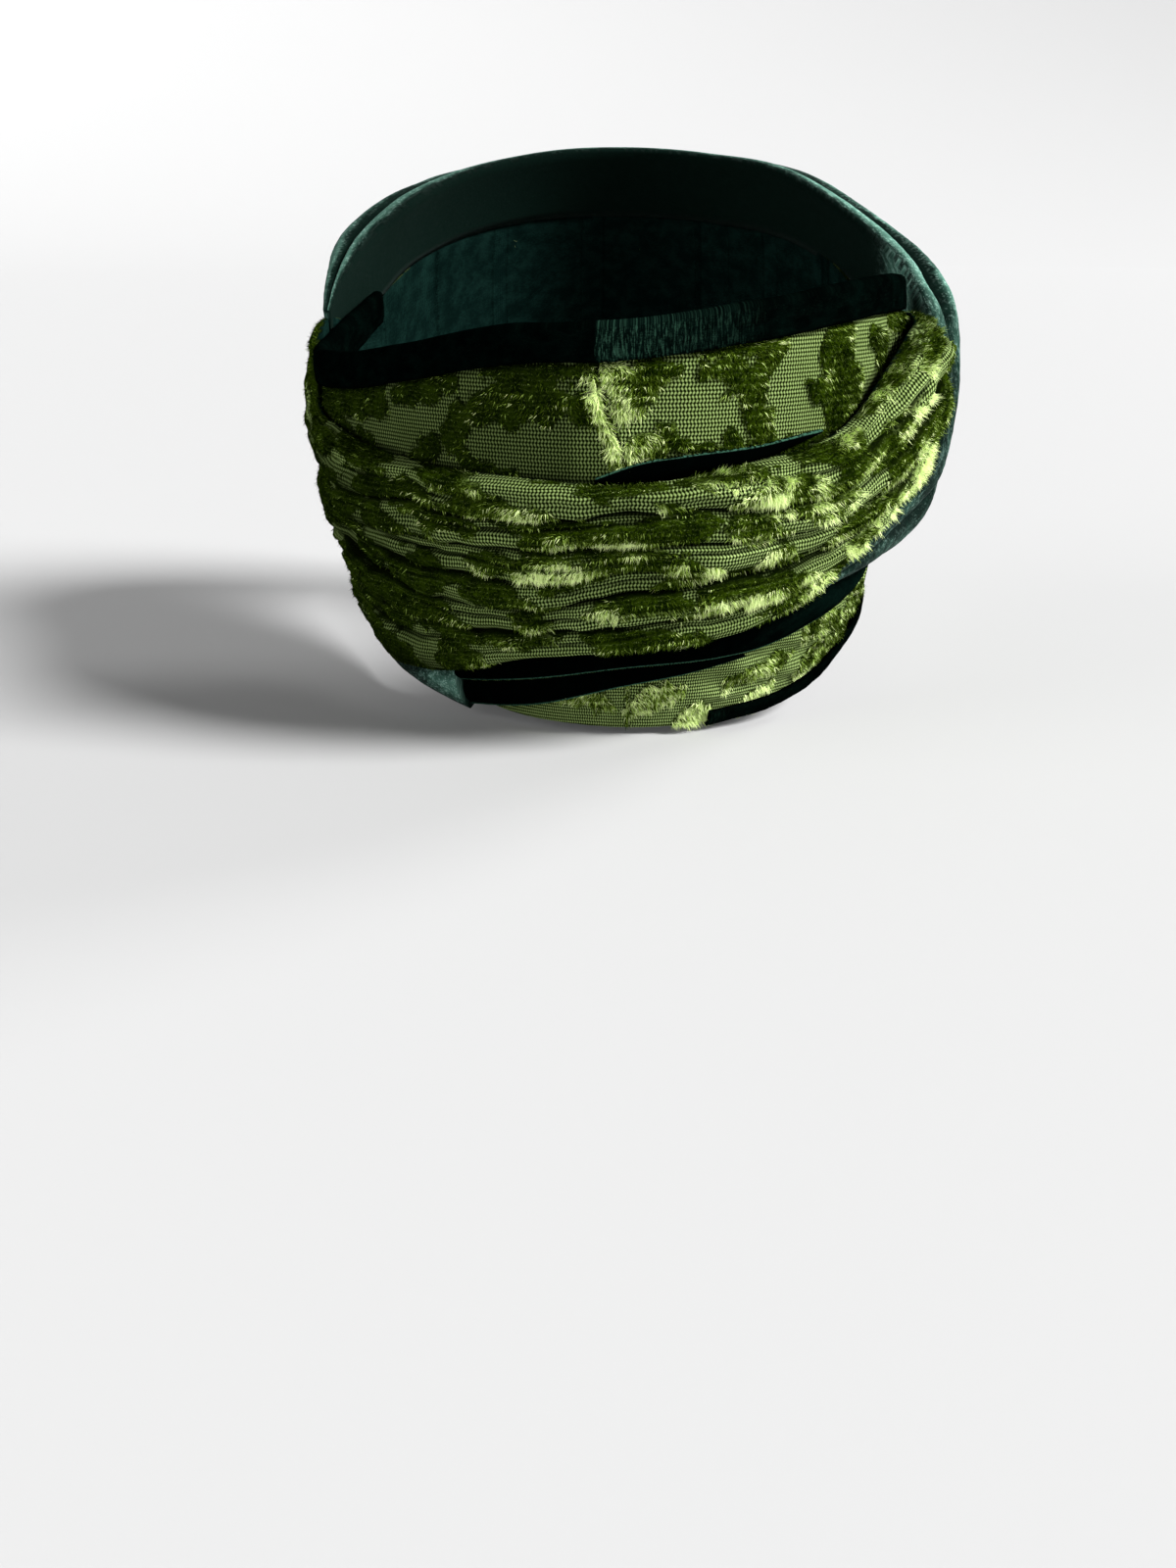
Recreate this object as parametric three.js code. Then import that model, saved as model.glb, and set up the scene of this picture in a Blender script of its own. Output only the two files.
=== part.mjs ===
// Turban headwrap with an open crown, in millimetres and degrees.
// A patterned back band in two halves carries a dark velvet binding along its top edge.
// A long gathered cloth lies round it in six pleats, and its velvet reverse is turned out
// as a roll that rises at the wearer's right and runs along the top of the forehead.
// +Z is up, +Y points the way the wearer faces, +X is the wearer's right.
// Azimuth 0 is the centre back and grows towards the wearer's right.

import * as THREE from 'three';

// Driving dimensions
const clothWall = 1.6;
const pleatWall = 2.8;
const bindingWall = 1.1;
const pieceGap = 0.4;
const bindingWidth = 9.5;
const napeBindingWidth = 5;
const napeBindingShare = 0.76;
const seamGap = 0.1;
const bandFlare = 2;
const stepAngle = 7.5;

// The head that the wrap is worn on: half width, depth to the back and depth to the
// front at each height above its widest level.
const headForm = [
  { at: -130, side: 47, back: 58, front: 66 },
  { at: -100, side: 56.5, back: 70, front: 80 },
  { at: -80, side: 63, back: 81, front: 90 },
  { at: -60, side: 69, back: 91, front: 95 },
  { at: -40, side: 73, back: 97, front: 97 },
  { at: -20, side: 75.5, back: 98.5, front: 97 },
  { at: 0, side: 76, back: 97, front: 95 },
  { at: 20, side: 73.3, back: 92, front: 90 },
  { at: 40, side: 64.6, back: 82, front: 78 },
  { at: 60, side: 50, back: 62, front: 60 },
];

// The back band: heights of its two edges, and how far it stands off the head at its
// top and at its bottom. It swells over the cloth beneath it at the left.
const bandRows = [
  { at: -108, top: 0, low: -72, upper: 2, lower: 2 },
  { at: -98, top: -4.5, low: -80, upper: 2.8, lower: 2 },
  { at: -90, top: -8.5, low: -86, upper: 5.8, lower: 2 },
  { at: -80, top: -12.5, low: -93, upper: 10.4, lower: 2 },
  { at: -66, top: -12.5, low: -101, upper: 7, lower: 1.8 },
  { at: -45, top: -8, low: -107, upper: 2.6, lower: 1.5 },
  { at: -22, top: -2.2, low: -109, upper: 1.5, lower: 1.5 },
  { at: 0, top: -0.6, low: -109.5, upper: 1.5, lower: 1.7 },
  { at: 22, top: 3, low: -108.4, upper: 1.5, lower: 3 },
  { at: 45, top: 6.6, low: -105.4, upper: 1.6, lower: 6 },
  { at: 62, top: 7.6, low: -99.4, upper: 1.8, lower: 8 },
  { at: 74, top: 7.2, low: -88.6, upper: 2, lower: 9.6 },
  { at: 84, top: 6.2, low: -79, upper: 2, lower: 6 },
  { at: 94, top: 5, low: -72, upper: 2, lower: 3 },
];

// The centre back seam leans: its azimuth at each height.
const seamRows = [
  { at: -110, turn: 0.8 },
  { at: -50, turn: 0 },
  { at: -34, turn: -0.4 },
  { at: -20, turn: -4 },
  { at: -11, turn: -5.5 },
  { at: 10, turn: -5.5 },
];

// The gathered cloth: heights of its top edge, of the five valleys between its pleats
// and of its bottom edge, then the offsets of its inner face and of its crests.
const wrapRows = [
  { at: -280, top: -66, a: -67.2, b: -68.4, c: -69.6, d: -70.8, e: -72, low: -74, inner: 10.8, crest: 14 },
  { at: -270, top: -42, a: -47, b: -52, c: -57, d: -62, e: -68, low: -74, inner: 8.6, crest: 13.6 },
  { at: -262, top: -21, a: -30, b: -38, c: -46, d: -54, e: -63, low: -72, inner: 4, crest: 13 },
  { at: -245, top: 5, a: -6, b: -16, c: -27, d: -38, e: -49, low: -60, inner: 1.5, crest: 14 },
  { at: -225, top: 17.6, a: 11, b: 2, c: -7, d: -17, e: -28, low: -38, inner: 1, crest: 14 },
  { at: -205, top: 22.7, a: 17, b: 10, c: 2, d: -6, e: -14, low: -22, inner: 1, crest: 14 },
  { at: -180, top: 25, a: 19.5, b: 13, c: 6, d: -1, e: -8, low: -15, inner: 1, crest: 14 },
  { at: -150, top: 21.5, a: 15, b: 8, c: 1, d: -8, e: -17, low: -27, inner: 1, crest: 14.5 },
  { at: -125, top: 10.5, a: 2, b: -8, c: -17, d: -27, e: -40, low: -54, inner: 1.5, crest: 15.5 },
  { at: -108, top: -3, a: -13, b: -23, c: -31, d: -41, e: -55, low: -76, inner: 5.8, crest: 15.6 },
  { at: -98, top: -6, a: -20, b: -33, c: -41, d: -49, e: -62, low: -85, inner: 6.6, crest: 15.8 },
  { at: -90, top: -5.5, a: -29, b: -42, c: -48, d: -55, e: -67, low: -91, inner: 10.6, crest: 16.8 },
  { at: -80, top: -25, a: -41, b: -51, c: -56, d: -61, e: -71.5, low: -95.5, inner: 12.7, crest: 19 },
  { at: -66, top: -31, a: -45, b: -54.5, c: -59, d: -64, e: -75.5, low: -97, inner: 9.8, crest: 16.8 },
  { at: -45, top: -35.4, a: -44.6, b: -53.8, c: -62, d: -70.5, e: -79.8, low: -94.5, inner: 5.2, crest: 13 },
  { at: -22, top: -37, a: -46.4, b: -54.6, c: -62.5, d: -71.8, e: -78.2, low: -86.5, inner: 3.7, crest: 11.2 },
  { at: 0, top: -37.8, a: -44.5, b: -52.2, c: -59.6, d: -65.8, e: -74.6, low: -82.6, inner: 3.6, crest: 10.6 },
  { at: 22, top: -33.6, a: -43, b: -51.6, c: -59.4, d: -62.4, e: -71, low: -79, inner: 4.4, crest: 10.9 },
  { at: 45, top: -25.4, a: -38.6, b: -48.8, c: -55, d: -57.4, e: -63.2, low: -67.6, inner: 5.8, crest: 12.6 },
  { at: 55, top: -15, a: -31, b: -42.5, c: -50, d: -52.5, e: -57.6, low: -60.6, inner: 6.2, crest: 13.8 },
  { at: 66, top: -6.5, a: -19, b: -30, c: -40, d: -43.5, e: -49.5, low: -53.4, inner: 6.8, crest: 15.4 },
  { at: 76, top: -4, a: -9.5, b: -16.5, c: -25, d: -30, e: -38, low: -45.6, inner: 7, crest: 16.4 },
  { at: 83, top: -3, a: -6.5, b: -11, c: -17, d: -22, e: -29, low: -38, inner: 6.4, crest: 12.4 },
  { at: 90, top: -3, a: -6, b: -9, c: -13, d: -18, e: -24, low: -32, inner: 5.6, crest: 9.2 },
];

// One pleat across its height: share of the way down, and share of its full rise.
const pleatShape = [
  { down: 0, rise: 0 },
  { down: 0.3, rise: 0.86 },
  { down: 0.74, rise: 1 },
];
const pleatDepthShare = 0.62;

// The velvet roll: heights of its upper and lower edge, and offsets of its inner
// face and its two ridges. It starts as a thin edge under the pleats at the back.
const rollRows = [
  { at: 32, top: -76.2, low: -77.6, inner: 7, crest: 8.4 },
  { at: 45, top: -68.2, low: -71.6, inner: 7, crest: 9.8 },
  { at: 60, top: -58.2, low: -70, inner: 7.4, crest: 12 },
  { at: 68, top: -52.8, low: -69.4, inner: 8.2, crest: 13.8 },
  { at: 75, top: -47, low: -68, inner: 9.6, crest: 17.6 },
  { at: 82, top: -38, low: -60, inner: 14, crest: 22.4 },
  { at: 90, top: -5, low: -41, inner: 11, crest: 24.4 },
  { at: 98, top: 8.4, low: -20, inner: 9, crest: 22.4 },
  { at: 106, top: 17, low: -5, inner: 6.6, crest: 19.4 },
  { at: 116, top: 26.5, low: 7, inner: 3.4, crest: 16.4 },
  { at: 130, top: 36, low: 16.6, inner: 1.4, crest: 16 },
  { at: 155, top: 42, low: 23.4, inner: 1, crest: 15.4 },
  { at: 180, top: 44, low: 25.6, inner: 1, crest: 15.4 },
  { at: 205, top: 42, low: 23.6, inner: 1, crest: 15.4 },
  { at: 230, top: 34.4, low: 15.4, inner: 1.4, crest: 15.8 },
  { at: 243, top: 27, low: 7.4, inner: 2.6, crest: 17 },
  { at: 251, top: 19, low: -1.4, inner: 5.2, crest: 17 },
  { at: 258, top: 12.5, low: -4.4, inner: 7, crest: 14.4 },
  { at: 265, top: 6.5, low: -5, inner: 8.6, crest: 12.4 },
];

// The roll's outline between its edges: share of the way down, share of its rise.
const rollShape = [
  { down: 0, rise: 0.18 },
  { down: 0.08, rise: 0.66 },
  { down: 0.24, rise: 1 },
  { down: 0.4, rise: 0.84 },
  { down: 0.48, rise: 0.6 },
  { down: 0.58, rise: 0.86 },
  { down: 0.76, rise: 0.96 },
  { down: 0.93, rise: 0.6 },
  { down: 1, rise: 0.14 },
];

// Velvet strips below and above the pleats: heights of their edges, and the offsets
// of their inner and outer faces.
const topBorderRows = [
  { at: -5, top: -36.2, low: -37.2, inner: 3.6, outer: 5.4 },
  { at: 8, top: -32.6, low: -36, inner: 3.6, outer: 6 },
  { at: 24, top: -30.6, low: -32.6, inner: 3.6, outer: 6 },
  { at: 38, top: -27.6, low: -28.6, inner: 3.8, outer: 5.8 },
];
const upperStripRows = [
  { at: -46, top: -95.2, low: -100, inner: 4.6, outer: 8.4 },
  { at: -22, top: -87.4, low: -94.6, inner: 3.6, outer: 7 },
  { at: 0, top: -83.5, low: -89.6, inner: 3.6, outer: 6.6 },
  { at: 22, top: -80.2, low: -88, inner: 4.4, outer: 7.2 },
  { at: 32, top: -78.2, low: -86.8, inner: 5, outer: 7.8 },
  { at: 45, top: -72.2, low: -83, inner: 6.2, outer: 9 },
  { at: 60, top: -70.6, low: -78.6, inner: 7.8, outer: 10.6 },
  { at: 73, top: -69.2, low: -73.4, inner: 9.4, outer: 12 },
];
const lowerStripRows = [
  { at: -46, top: -100.4, low: -108, inner: 4, outer: 7.2 },
  { at: -22, top: -95, low: -103, inner: 3.6, outer: 6 },
  { at: 0, top: -90, low: -95.6, inner: 3.6, outer: 5.8 },
  { at: 16, top: -88.8, low: -92.2, inner: 4, outer: 6 },
  { at: 29, top: -87.9, low: -88.9, inner: 4.8, outer: 6.4 },
];
const lowerBorderRows = [
  { at: -277, top: -75.2, low: -80.6, inner: 10.8, outer: 13.4 },
  { at: -262, top: -73.4, low: -80, inner: 5.4, outer: 10.4 },
  { at: -245, top: -61, low: -67.4, inner: 1.5, outer: 8.4 },
  { at: -225, top: -39, low: -45.4, inner: 1, outer: 8 },
  { at: -205, top: -22.8, low: -29, inner: 1, outer: 8 },
  { at: -180, top: -15.6, low: -21.6, inner: 1, outer: 8 },
  { at: -150, top: -27.8, low: -34, inner: 1, outer: 8.4 },
  { at: -125, top: -55, low: -62, inner: 1.5, outer: 9.4 },
  { at: -108, top: -77, low: -84, inner: 6, outer: 12 },
  { at: -90, top: -92, low: -98.6, inner: 9, outer: 15 },
  { at: -75, top: -97.4, low: -103, inner: 9, outer: 15 },
  { at: -60, top: -97.2, low: -106.4, inner: 7, outer: 12.8 },
  { at: -46.6, top: -95.4, low: -109.6, inner: 4.4, outer: 8.8 },
];

const degrees = Math.PI / 180;

// Reads a table smoothly between its rows: the result has every column at that place.
function smoothTable(rows) {
  const columns = Object.keys(rows[0]).filter((name) => name !== 'at');
  const places = rows.map((row) => row.at);
  const values = rows.flatMap((row) => columns.map((name) => row[name]));
  const curve = new THREE.CubicInterpolant(places, values, columns.length);
  return (at) => {
    const found = curve.evaluate(Math.min(Math.max(at, places[0]), places.at(-1)));
    return Object.fromEntries(columns.map((name, i) => [name, found[i]]));
  };
}

const headAt = smoothTable(headForm);
const seamAt = smoothTable(seamRows);
const bandAt = smoothTable(bandRows);

// A point that stands off the head by the offset, at that azimuth and height.
function headPoint(azimuth, z, offset) {
  const head = headAt(z);
  const towardsBack = Math.cos(azimuth * degrees);
  const depth = towardsBack > 0 ? head.back : head.front;
  const x = (head.side + offset) * Math.sin(azimuth * degrees);
  const y = -(depth + offset) * towardsBack;
  return new THREE.Vector3(x, y, z);
}

// Azimuths from one end to the other in nearly equal steps.
function stationsBetween(first, last, step = stepAngle) {
  const count = Math.max(2, Math.round((last - first) / step));
  return Array.from({ length: count + 1 }, (_, i) => first + ((last - first) * i) / count);
}

// Triangles that close the end of a wall, whose outer points are paired with inner ones.
function wallEnd(section) {
  const pairs = section.length / 2;
  return Array.from({ length: pairs - 1 }, (_, i) => {
    const across = section.length - 1 - i;
    return [[i, i + 1, across], [i + 1, across - 1, across]];
  }).flat();
}

// Triangles that close the end of any other outline.
function outlineEnd(section) {
  return THREE.ShapeUtils.triangulateShape(section.map((p) => new THREE.Vector2(p.offset, p.z)), []);
}

// A closed body: one closed section at each station, joined to the next and closed at its ends.
// A section is a list of { azimuth, z, offset } that runs up the outer face and down the inner.
function loft(sections, endTriangles) {
  const size = sections[0].length;
  const positions = sections.flat().flatMap((p) => headPoint(p.azimuth, p.z, p.offset).toArray());
  const index = [];
  for (let s = 0; s < sections.length - 1; s += 1) {
    for (let i = 0; i < size; i += 1) {
      const a = s * size + i;
      const b = s * size + ((i + 1) % size);
      index.push(a, a + size, b, b, a + size, b + size);
    }
  }
  const lastStart = (sections.length - 1) * size;
  for (const [section, start, turned] of [[sections[0], 0, false], [sections.at(-1), lastStart, true]]) {
    for (const [a, b, c] of endTriangles(section)) {
      index.push(...(turned ? [start + a, start + c, start + b] : [start + a, start + b, start + c]));
    }
  }
  const geometry = new THREE.BufferGeometry();
  geometry.setAttribute('position', new THREE.Float32BufferAttribute(positions, 3));
  geometry.setIndex(index);
  return geometry;
}

// A wall from a list of outer points, top first: the inner face repeats them further in.
function wallSection(azimuth, outerPoints, wall) {
  const inner = outerPoints.map((p) => ({ azimuth, z: p.z, offset: p.offset - wall }));
  const outer = outerPoints.map((p) => ({ azimuth, z: p.z, offset: p.offset }));
  return [...outer.reverse(), ...inner];
}

function material(color, roughness) {
  return new THREE.MeshStandardMaterial({ color, roughness, metalness: 0 });
}

function devoreCloth() {
  return material('#5f7a22', 0.75);
}

function darkVelvet() {
  return material('#0e2a24', 0.6);
}

function tealVelvet() {
  return material('#2c6152', 0.5);
}

function piece(name, sections, finish, endTriangles = wallEnd) {
  const mesh = new THREE.Mesh(loft(sections, endTriangles), finish);
  mesh.name = name;
  return mesh;
}

// The back band at one share of the way from its outer end to the leaning seam.
function bandColumn(endAzimuth, share) {
  const towardsSeam = (z) => seamAt(z).turn + Math.sign(endAzimuth) * seamGap;
  const azimuthAt = (z) => endAzimuth + (towardsSeam(z) - endAzimuth) * share;
  const row = bandAt(azimuthAt(0));
  const downAt = (z) => (row.top - z) / (row.top - row.low);
  const offsetAt = (z) => THREE.MathUtils.lerp(row.upper, row.lower, downAt(z) ** bandFlare);
  return { row, azimuthAt, offsetAt };
}

function bandShares(endAzimuth) {
  return stationsBetween(0, 1, stepAngle / Math.abs(endAzimuth));
}

// Sections run towards growing azimuth, so the right half is listed backwards.
function alongBand(endAzimuth, sections) {
  return endAzimuth < 0 ? sections : sections.reverse();
}

// One half of the back band.
function backPanel(name, endAzimuth) {
  const levels = 9;
  const sections = bandShares(endAzimuth).map((share) => {
    const { row, azimuthAt, offsetAt } = bandColumn(endAzimuth, share);
    const outer = Array.from({ length: levels }, (_, i) => {
      const z = THREE.MathUtils.lerp(row.top, row.low, i / (levels - 1));
      return { azimuth: azimuthAt(z), z, offset: offsetAt(z) + clothWall };
    });
    const inner = outer.map((p) => ({ ...p, offset: p.offset - clothWall }));
    return [...outer.reverse(), ...inner];
  });
  return piece(name, alongBand(endAzimuth, sections), devoreCloth());
}

// A binding folded over an edge of the band: a channel with the edge inside it.
// Its crown lies at the edge on the side given by up, and its legs reach back by the width.
function foldedBinding(name, endAzimuth, shares, up, edgeColumn, width, finish) {
  const sections = shares.map((share) => {
    const { row, azimuthAt, offsetAt } = bandColumn(endAzimuth, share);
    const edge = row[edgeColumn];
    const point = (beyond, away, half = 1) => {
      const z = edge + up * beyond;
      const middle = offsetAt(z) + clothWall / 2;
      return { azimuth: azimuthAt(z), z, offset: middle + away * half * (clothWall / 2 + pieceGap) };
    };
    const leg = pieceGap + bindingWall - width;
    const wall = 1 + bindingWall / (clothWall / 2 + pieceGap);
    const points = [
      point(leg, 1, wall),
      point(pieceGap, 1, wall),
      point(pieceGap + bindingWall, 1),
      point(pieceGap + bindingWall, -1),
      point(pieceGap, -1, wall),
      point(leg, -1, wall),
      point(leg, -1),
      point(pieceGap, -1),
      point(pieceGap, 1),
      point(leg, 1),
    ];
    return up > 0 ? points : points.reverse();
  });
  return piece(name, alongBand(endAzimuth, sections), finish, outlineEnd);
}

function topBinding(name, endAzimuth, finish) {
  return foldedBinding(name, endAzimuth, bandShares(endAzimuth), 1, 'top', bindingWidth, finish);
}

// The binding of the lower edge shows only towards the wearer's right ear.
function napeBinding(endAzimuth) {
  const shares = bandShares(endAzimuth).filter((share) => share < napeBindingShare);
  return foldedBinding('nape_binding', endAzimuth, shares, -1, 'low', napeBindingWidth, darkVelvet());
}

// The gathered cloth: each pleat rises from its valley, swells and falls to the next.
function gatheredWrap() {
  const rowAt = smoothTable(wrapRows);
  const sections = stationsBetween(wrapRows[0].at, wrapRows.at(-1).at).map((azimuth) => {
    const row = rowAt(azimuth);
    const lines = [row.top, row.a, row.b, row.c, row.d, row.e, row.low];
    const valley = row.inner + pleatWall;
    const outer = lines.slice(0, -1).flatMap((z, i) => {
      const height = z - lines[i + 1];
      const rise = Math.min(row.crest - valley, height * pleatDepthShare);
      return pleatShape.map((p) => ({ z: z - height * p.down, offset: valley + rise * p.rise }));
    });
    outer.push({ z: row.low, offset: valley });
    return wallSection(azimuth, outer, pleatWall);
  });
  return piece('gathered_wrap', sections, devoreCloth());
}

// The velvet reverse, turned out and rolled, with a deep fold between its two ridges.
function velvetRoll() {
  const rowAt = smoothTable(rollRows);
  const sections = stationsBetween(rollRows[0].at, rollRows.at(-1).at, stepAngle * 0.7).map((azimuth) => {
    const row = rowAt(azimuth);
    const rise = row.crest - row.inner;
    const height = row.top - row.low;
    const outer = rollShape.map((p) => ({ azimuth, z: row.top - height * p.down, offset: row.inner + rise * p.rise }));
    const inner = [
      { azimuth, z: row.top - height * 0.1, offset: row.inner },
      { azimuth, z: row.top - height * 0.9, offset: row.inner },
    ];
    return [...outer.reverse(), ...inner];
  });
  return piece('velvet_roll', sections, tealVelvet(), outlineEnd);
}

// A velvet strip with a softly crowned face, narrow at its ends.
function velvetStrip(name, rows, finish) {
  const rowAt = smoothTable(rows);
  const sections = stationsBetween(rows[0].at, rows.at(-1).at).map((azimuth) => {
    const row = rowAt(azimuth);
    const height = row.top - row.low;
    const edge = row.inner + (row.outer - row.inner) * 0.6;
    const outer = [
      { z: row.top, offset: edge },
      { z: row.top - height * 0.25, offset: row.outer },
      { z: row.top - height * 0.75, offset: row.outer },
      { z: row.low, offset: edge },
    ];
    return wallSection(azimuth, outer, edge - row.inner);
  });
  return piece(name, sections, finish);
}

const headwrap = new THREE.Group();
headwrap.add(
  backPanel('back_panel_left', bandRows[0].at),
  backPanel('back_panel_right', bandRows.at(-1).at),
  topBinding('top_binding_left', bandRows[0].at, darkVelvet()),
  topBinding('top_binding_right', bandRows.at(-1).at, tealVelvet()),
  napeBinding(bandRows.at(-1).at),
  gatheredWrap(),
  velvetStrip('wrap_top_border', topBorderRows, tealVelvet()),
  velvetStrip('border_strip_upper', upperStripRows, darkVelvet()),
  velvetStrip('border_strip_lower', lowerStripRows, darkVelvet()),
  velvetStrip('lower_border', lowerBorderRows, tealVelvet()),
  velvetRoll(),
);

export default headwrap;
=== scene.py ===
from math import hypot, pi, radians, sin, cos

import bmesh
import bpy
import numpy as np
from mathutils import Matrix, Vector


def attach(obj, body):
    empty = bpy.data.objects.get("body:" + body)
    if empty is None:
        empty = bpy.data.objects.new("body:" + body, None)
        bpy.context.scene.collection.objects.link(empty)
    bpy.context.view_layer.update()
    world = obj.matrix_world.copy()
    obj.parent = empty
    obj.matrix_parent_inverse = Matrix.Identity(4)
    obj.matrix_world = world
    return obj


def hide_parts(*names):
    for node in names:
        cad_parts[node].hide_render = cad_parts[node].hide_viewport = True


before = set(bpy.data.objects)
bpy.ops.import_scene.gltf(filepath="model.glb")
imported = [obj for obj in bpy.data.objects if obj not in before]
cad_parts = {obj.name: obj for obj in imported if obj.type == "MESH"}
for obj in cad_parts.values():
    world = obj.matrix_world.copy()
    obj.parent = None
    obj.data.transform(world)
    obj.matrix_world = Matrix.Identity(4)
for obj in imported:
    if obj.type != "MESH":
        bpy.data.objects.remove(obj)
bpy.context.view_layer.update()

print("frame loaded:", len(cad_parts), "nodes")

# Angles are azimuths in degrees: 0 is the centre back and they grow towards the wearer's right.
# Lengths are millimetres until headPoint makes them metres.


# Reads a table smoothly between its rows and gives each named column
def smoothTable(columns, rows):
    table = np.array(rows, float)
    at, values = table[:, 0], table[:, 1:]
    slopes = np.gradient(values, at, axis=0)

    def read(places):
        p = np.clip(places, at[0], at[-1])
        i = np.clip(np.searchsorted(at, p, side="right") - 1, 0, len(at) - 2)
        width = (at[i + 1] - at[i])[..., None]
        t = (p - at[i])[..., None] / width
        start = (1 + 2 * t) * (1 - t) ** 2 * values[i] + t * (1 - t) ** 2 * slopes[i] * width
        end = t ** 2 * (3 - 2 * t) * values[i + 1] + t ** 2 * (t - 1) * slopes[i + 1] * width
        return {name: (start + end)[..., k] for k, name in enumerate(columns.split()[1:])}

    return read


def ramp(value, low, high):  # 0 below low, 1 above high, smooth between
    t = np.clip((value - low) / (high - low), 0, 1)
    return t * t * (3 - 2 * t)


def noise(x, y, seed):  # smooth noise from -1 to 1
    cells = 64
    lattice = np.random.default_rng(seed).uniform(-1, 1, (cells, cells))
    ix, iy = np.floor(x).astype(int), np.floor(y).astype(int)
    fx, fy = x - ix, y - iy
    fx, fy = fx * fx * (3 - 2 * fx), fy * fy * (3 - 2 * fy)
    near = lattice[ix % cells, iy % cells] * (1 - fx) + lattice[(ix + 1) % cells, iy % cells] * fx
    far = lattice[ix % cells, (iy + 1) % cells] * (1 - fx)
    far = far + lattice[(ix + 1) % cells, (iy + 1) % cells] * fx
    return near * (1 - fy) + far * fy


# Sums of soft noise: each layer's height, the length of its patches along and across, and its seed
def layered(along, across, layers):
    return sum(high * noise(along / long, across / wide, seed) for high, long, wide, seed in layers)


def lumps(along, across, layers):  # how high, how many to the millimetre, seed
    return sum(high * noise(along * fine, across * fine, seed) for high, fine, seed in layers)


# The head that the wrap is worn on: half width, and depth to the back and to the front
headAt = smoothTable("z side back front", [
    (-130, 47, 58, 66), (-100, 56.5, 70, 80), (-80, 63, 81, 90), (-60, 69, 91, 95), (-40, 73, 97, 97),
    (-20, 75.5, 98.5, 97), (0, 76, 97, 95), (20, 73.3, 92, 90), (40, 64.6, 82, 78), (60, 50, 62, 60),
])


def headPoint(azimuth, z, offset):
    head = headAt(z)
    turn = np.radians(azimuth)
    depth = np.where(np.cos(turn) > 0, head["back"], head["front"])
    x = (head["side"] + offset) * np.sin(turn)
    y = -(depth + offset) * np.cos(turn)
    return np.stack([x, y, z + 0 * x], axis=-1) * 0.001


# Length along the cloth from the centre back, in millimetres, round an oval of these half widths
oval = {"side": 84, "depth": 106, "farthest": 300}


def lengthAlong(azimuth):
    degrees = np.arange(-oval["farthest"], oval["farthest"] + 1)
    turns = np.radians(degrees)
    steps = np.hypot(oval["side"] * np.cos(turns), oval["depth"] * np.sin(turns)) * pi / 180
    lengths = np.concatenate([[0], np.cumsum((steps[1:] + steps[:-1]) / 2)])
    return np.interp(azimuth, degrees, lengths - lengths[oval["farthest"]])


def azimuthSteps(*stretches):  # (first, last, step) one after the other
    parts = [np.linspace(a, b, max(2, round((b - a) / step)), endpoint=False) for a, b, step in stretches]
    return np.concatenate(parts + [[stretches[-1][1]]])


def addObject(name, data):
    made = bpy.data.objects.new(name, data)
    bpy.context.scene.collection.objects.link(made)
    return made


def addLayer(mesh, key, values):
    isVector = values.ndim == 2
    layer = mesh.attributes.new(key, "FLOAT_VECTOR" if isVector else "FLOAT", "POINT")
    layer.data.foreach_set("vector" if isVector else "value", values.astype(np.float32).ravel())


clothGrids = {}
samePlace = 2e-6  # metres between two points that are one


# A closed cloth body from a grid: columns run along the azimuths, and rows down the outer face, over the
# low edge and up the inner face. section(azimuth, outer, inner, isInner) is told the share down either face
# and which face it is. It gives azimuth, z, offset and the named values that the finish reads.
def clothBody(name, azimuths, outerRows, innerRows, section):
    columnCount, rowCount = len(azimuths), outerRows + innerRows + 2
    bm = bmesh.new()
    bmesh.ops.create_grid(bm, x_segments=columnCount - 1, y_segments=rowCount, size=0.5)
    mesh = bpy.data.meshes.new(name)
    bm.to_mesh(mesh)
    bm.free()
    places = np.zeros(len(mesh.vertices) * 3, np.float32)
    mesh.vertices.foreach_get("co", places)
    places = places.reshape(-1, 3) + 0.5
    column = np.rint(places[:, 0] * (columnCount - 1)).astype(int)
    row = np.rint(places[:, 1] * rowCount).astype(int)
    azimuth = np.repeat(azimuths[:, None], rowCount + 1, axis=1)
    rows = np.repeat(np.arange(rowCount + 1)[None, :], columnCount, axis=0)
    outer = np.clip(rows / outerRows, 0, 1)
    inner = np.clip(1 - (rows - outerRows - 1) / innerRows, 0, 1)
    isInner = rows > outerRows
    turned, z, offset, values = section(azimuth, outer, inner, isInner)
    values = {"reverse": isInner * 1.0, **values}
    points = headPoint(turned, z, offset)
    points[:, -1] = points[:, 0]
    clothGrids[name] = (turned, points, values)
    mesh.vertices.foreach_set("co", points[column, row].astype(np.float32).ravel())
    for key, value in values.items():
        addLayer(mesh, key, value[column, row])
    bm = bmesh.new()
    bm.from_mesh(mesh)
    bmesh.ops.remove_doubles(bm, verts=bm.verts, dist=samePlace)
    openEdges = [edge for edge in bm.edges if edge.is_boundary]
    caps = bmesh.ops.holes_fill(bm, edges=openEdges, sides=0)["faces"]
    bmesh.ops.triangulate(bm, faces=caps)
    bmesh.ops.recalc_face_normals(bm, faces=bm.faces)
    for face in bm.faces:
        face.smooth = True
    bm.to_mesh(mesh)
    bm.free()
    halfArea = sum(face.area for face in mesh.polygons) / 2
    print("made", name, len(mesh.polygons), "faces, half its surface is",
          round(halfArea, 5), "square metres")
    return addObject(name, mesh)


def clothPlace(along, across):  # where a point lies on the flat cloth, for the patterns
    return np.stack([along, across, 0 * along], axis=-1)


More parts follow.
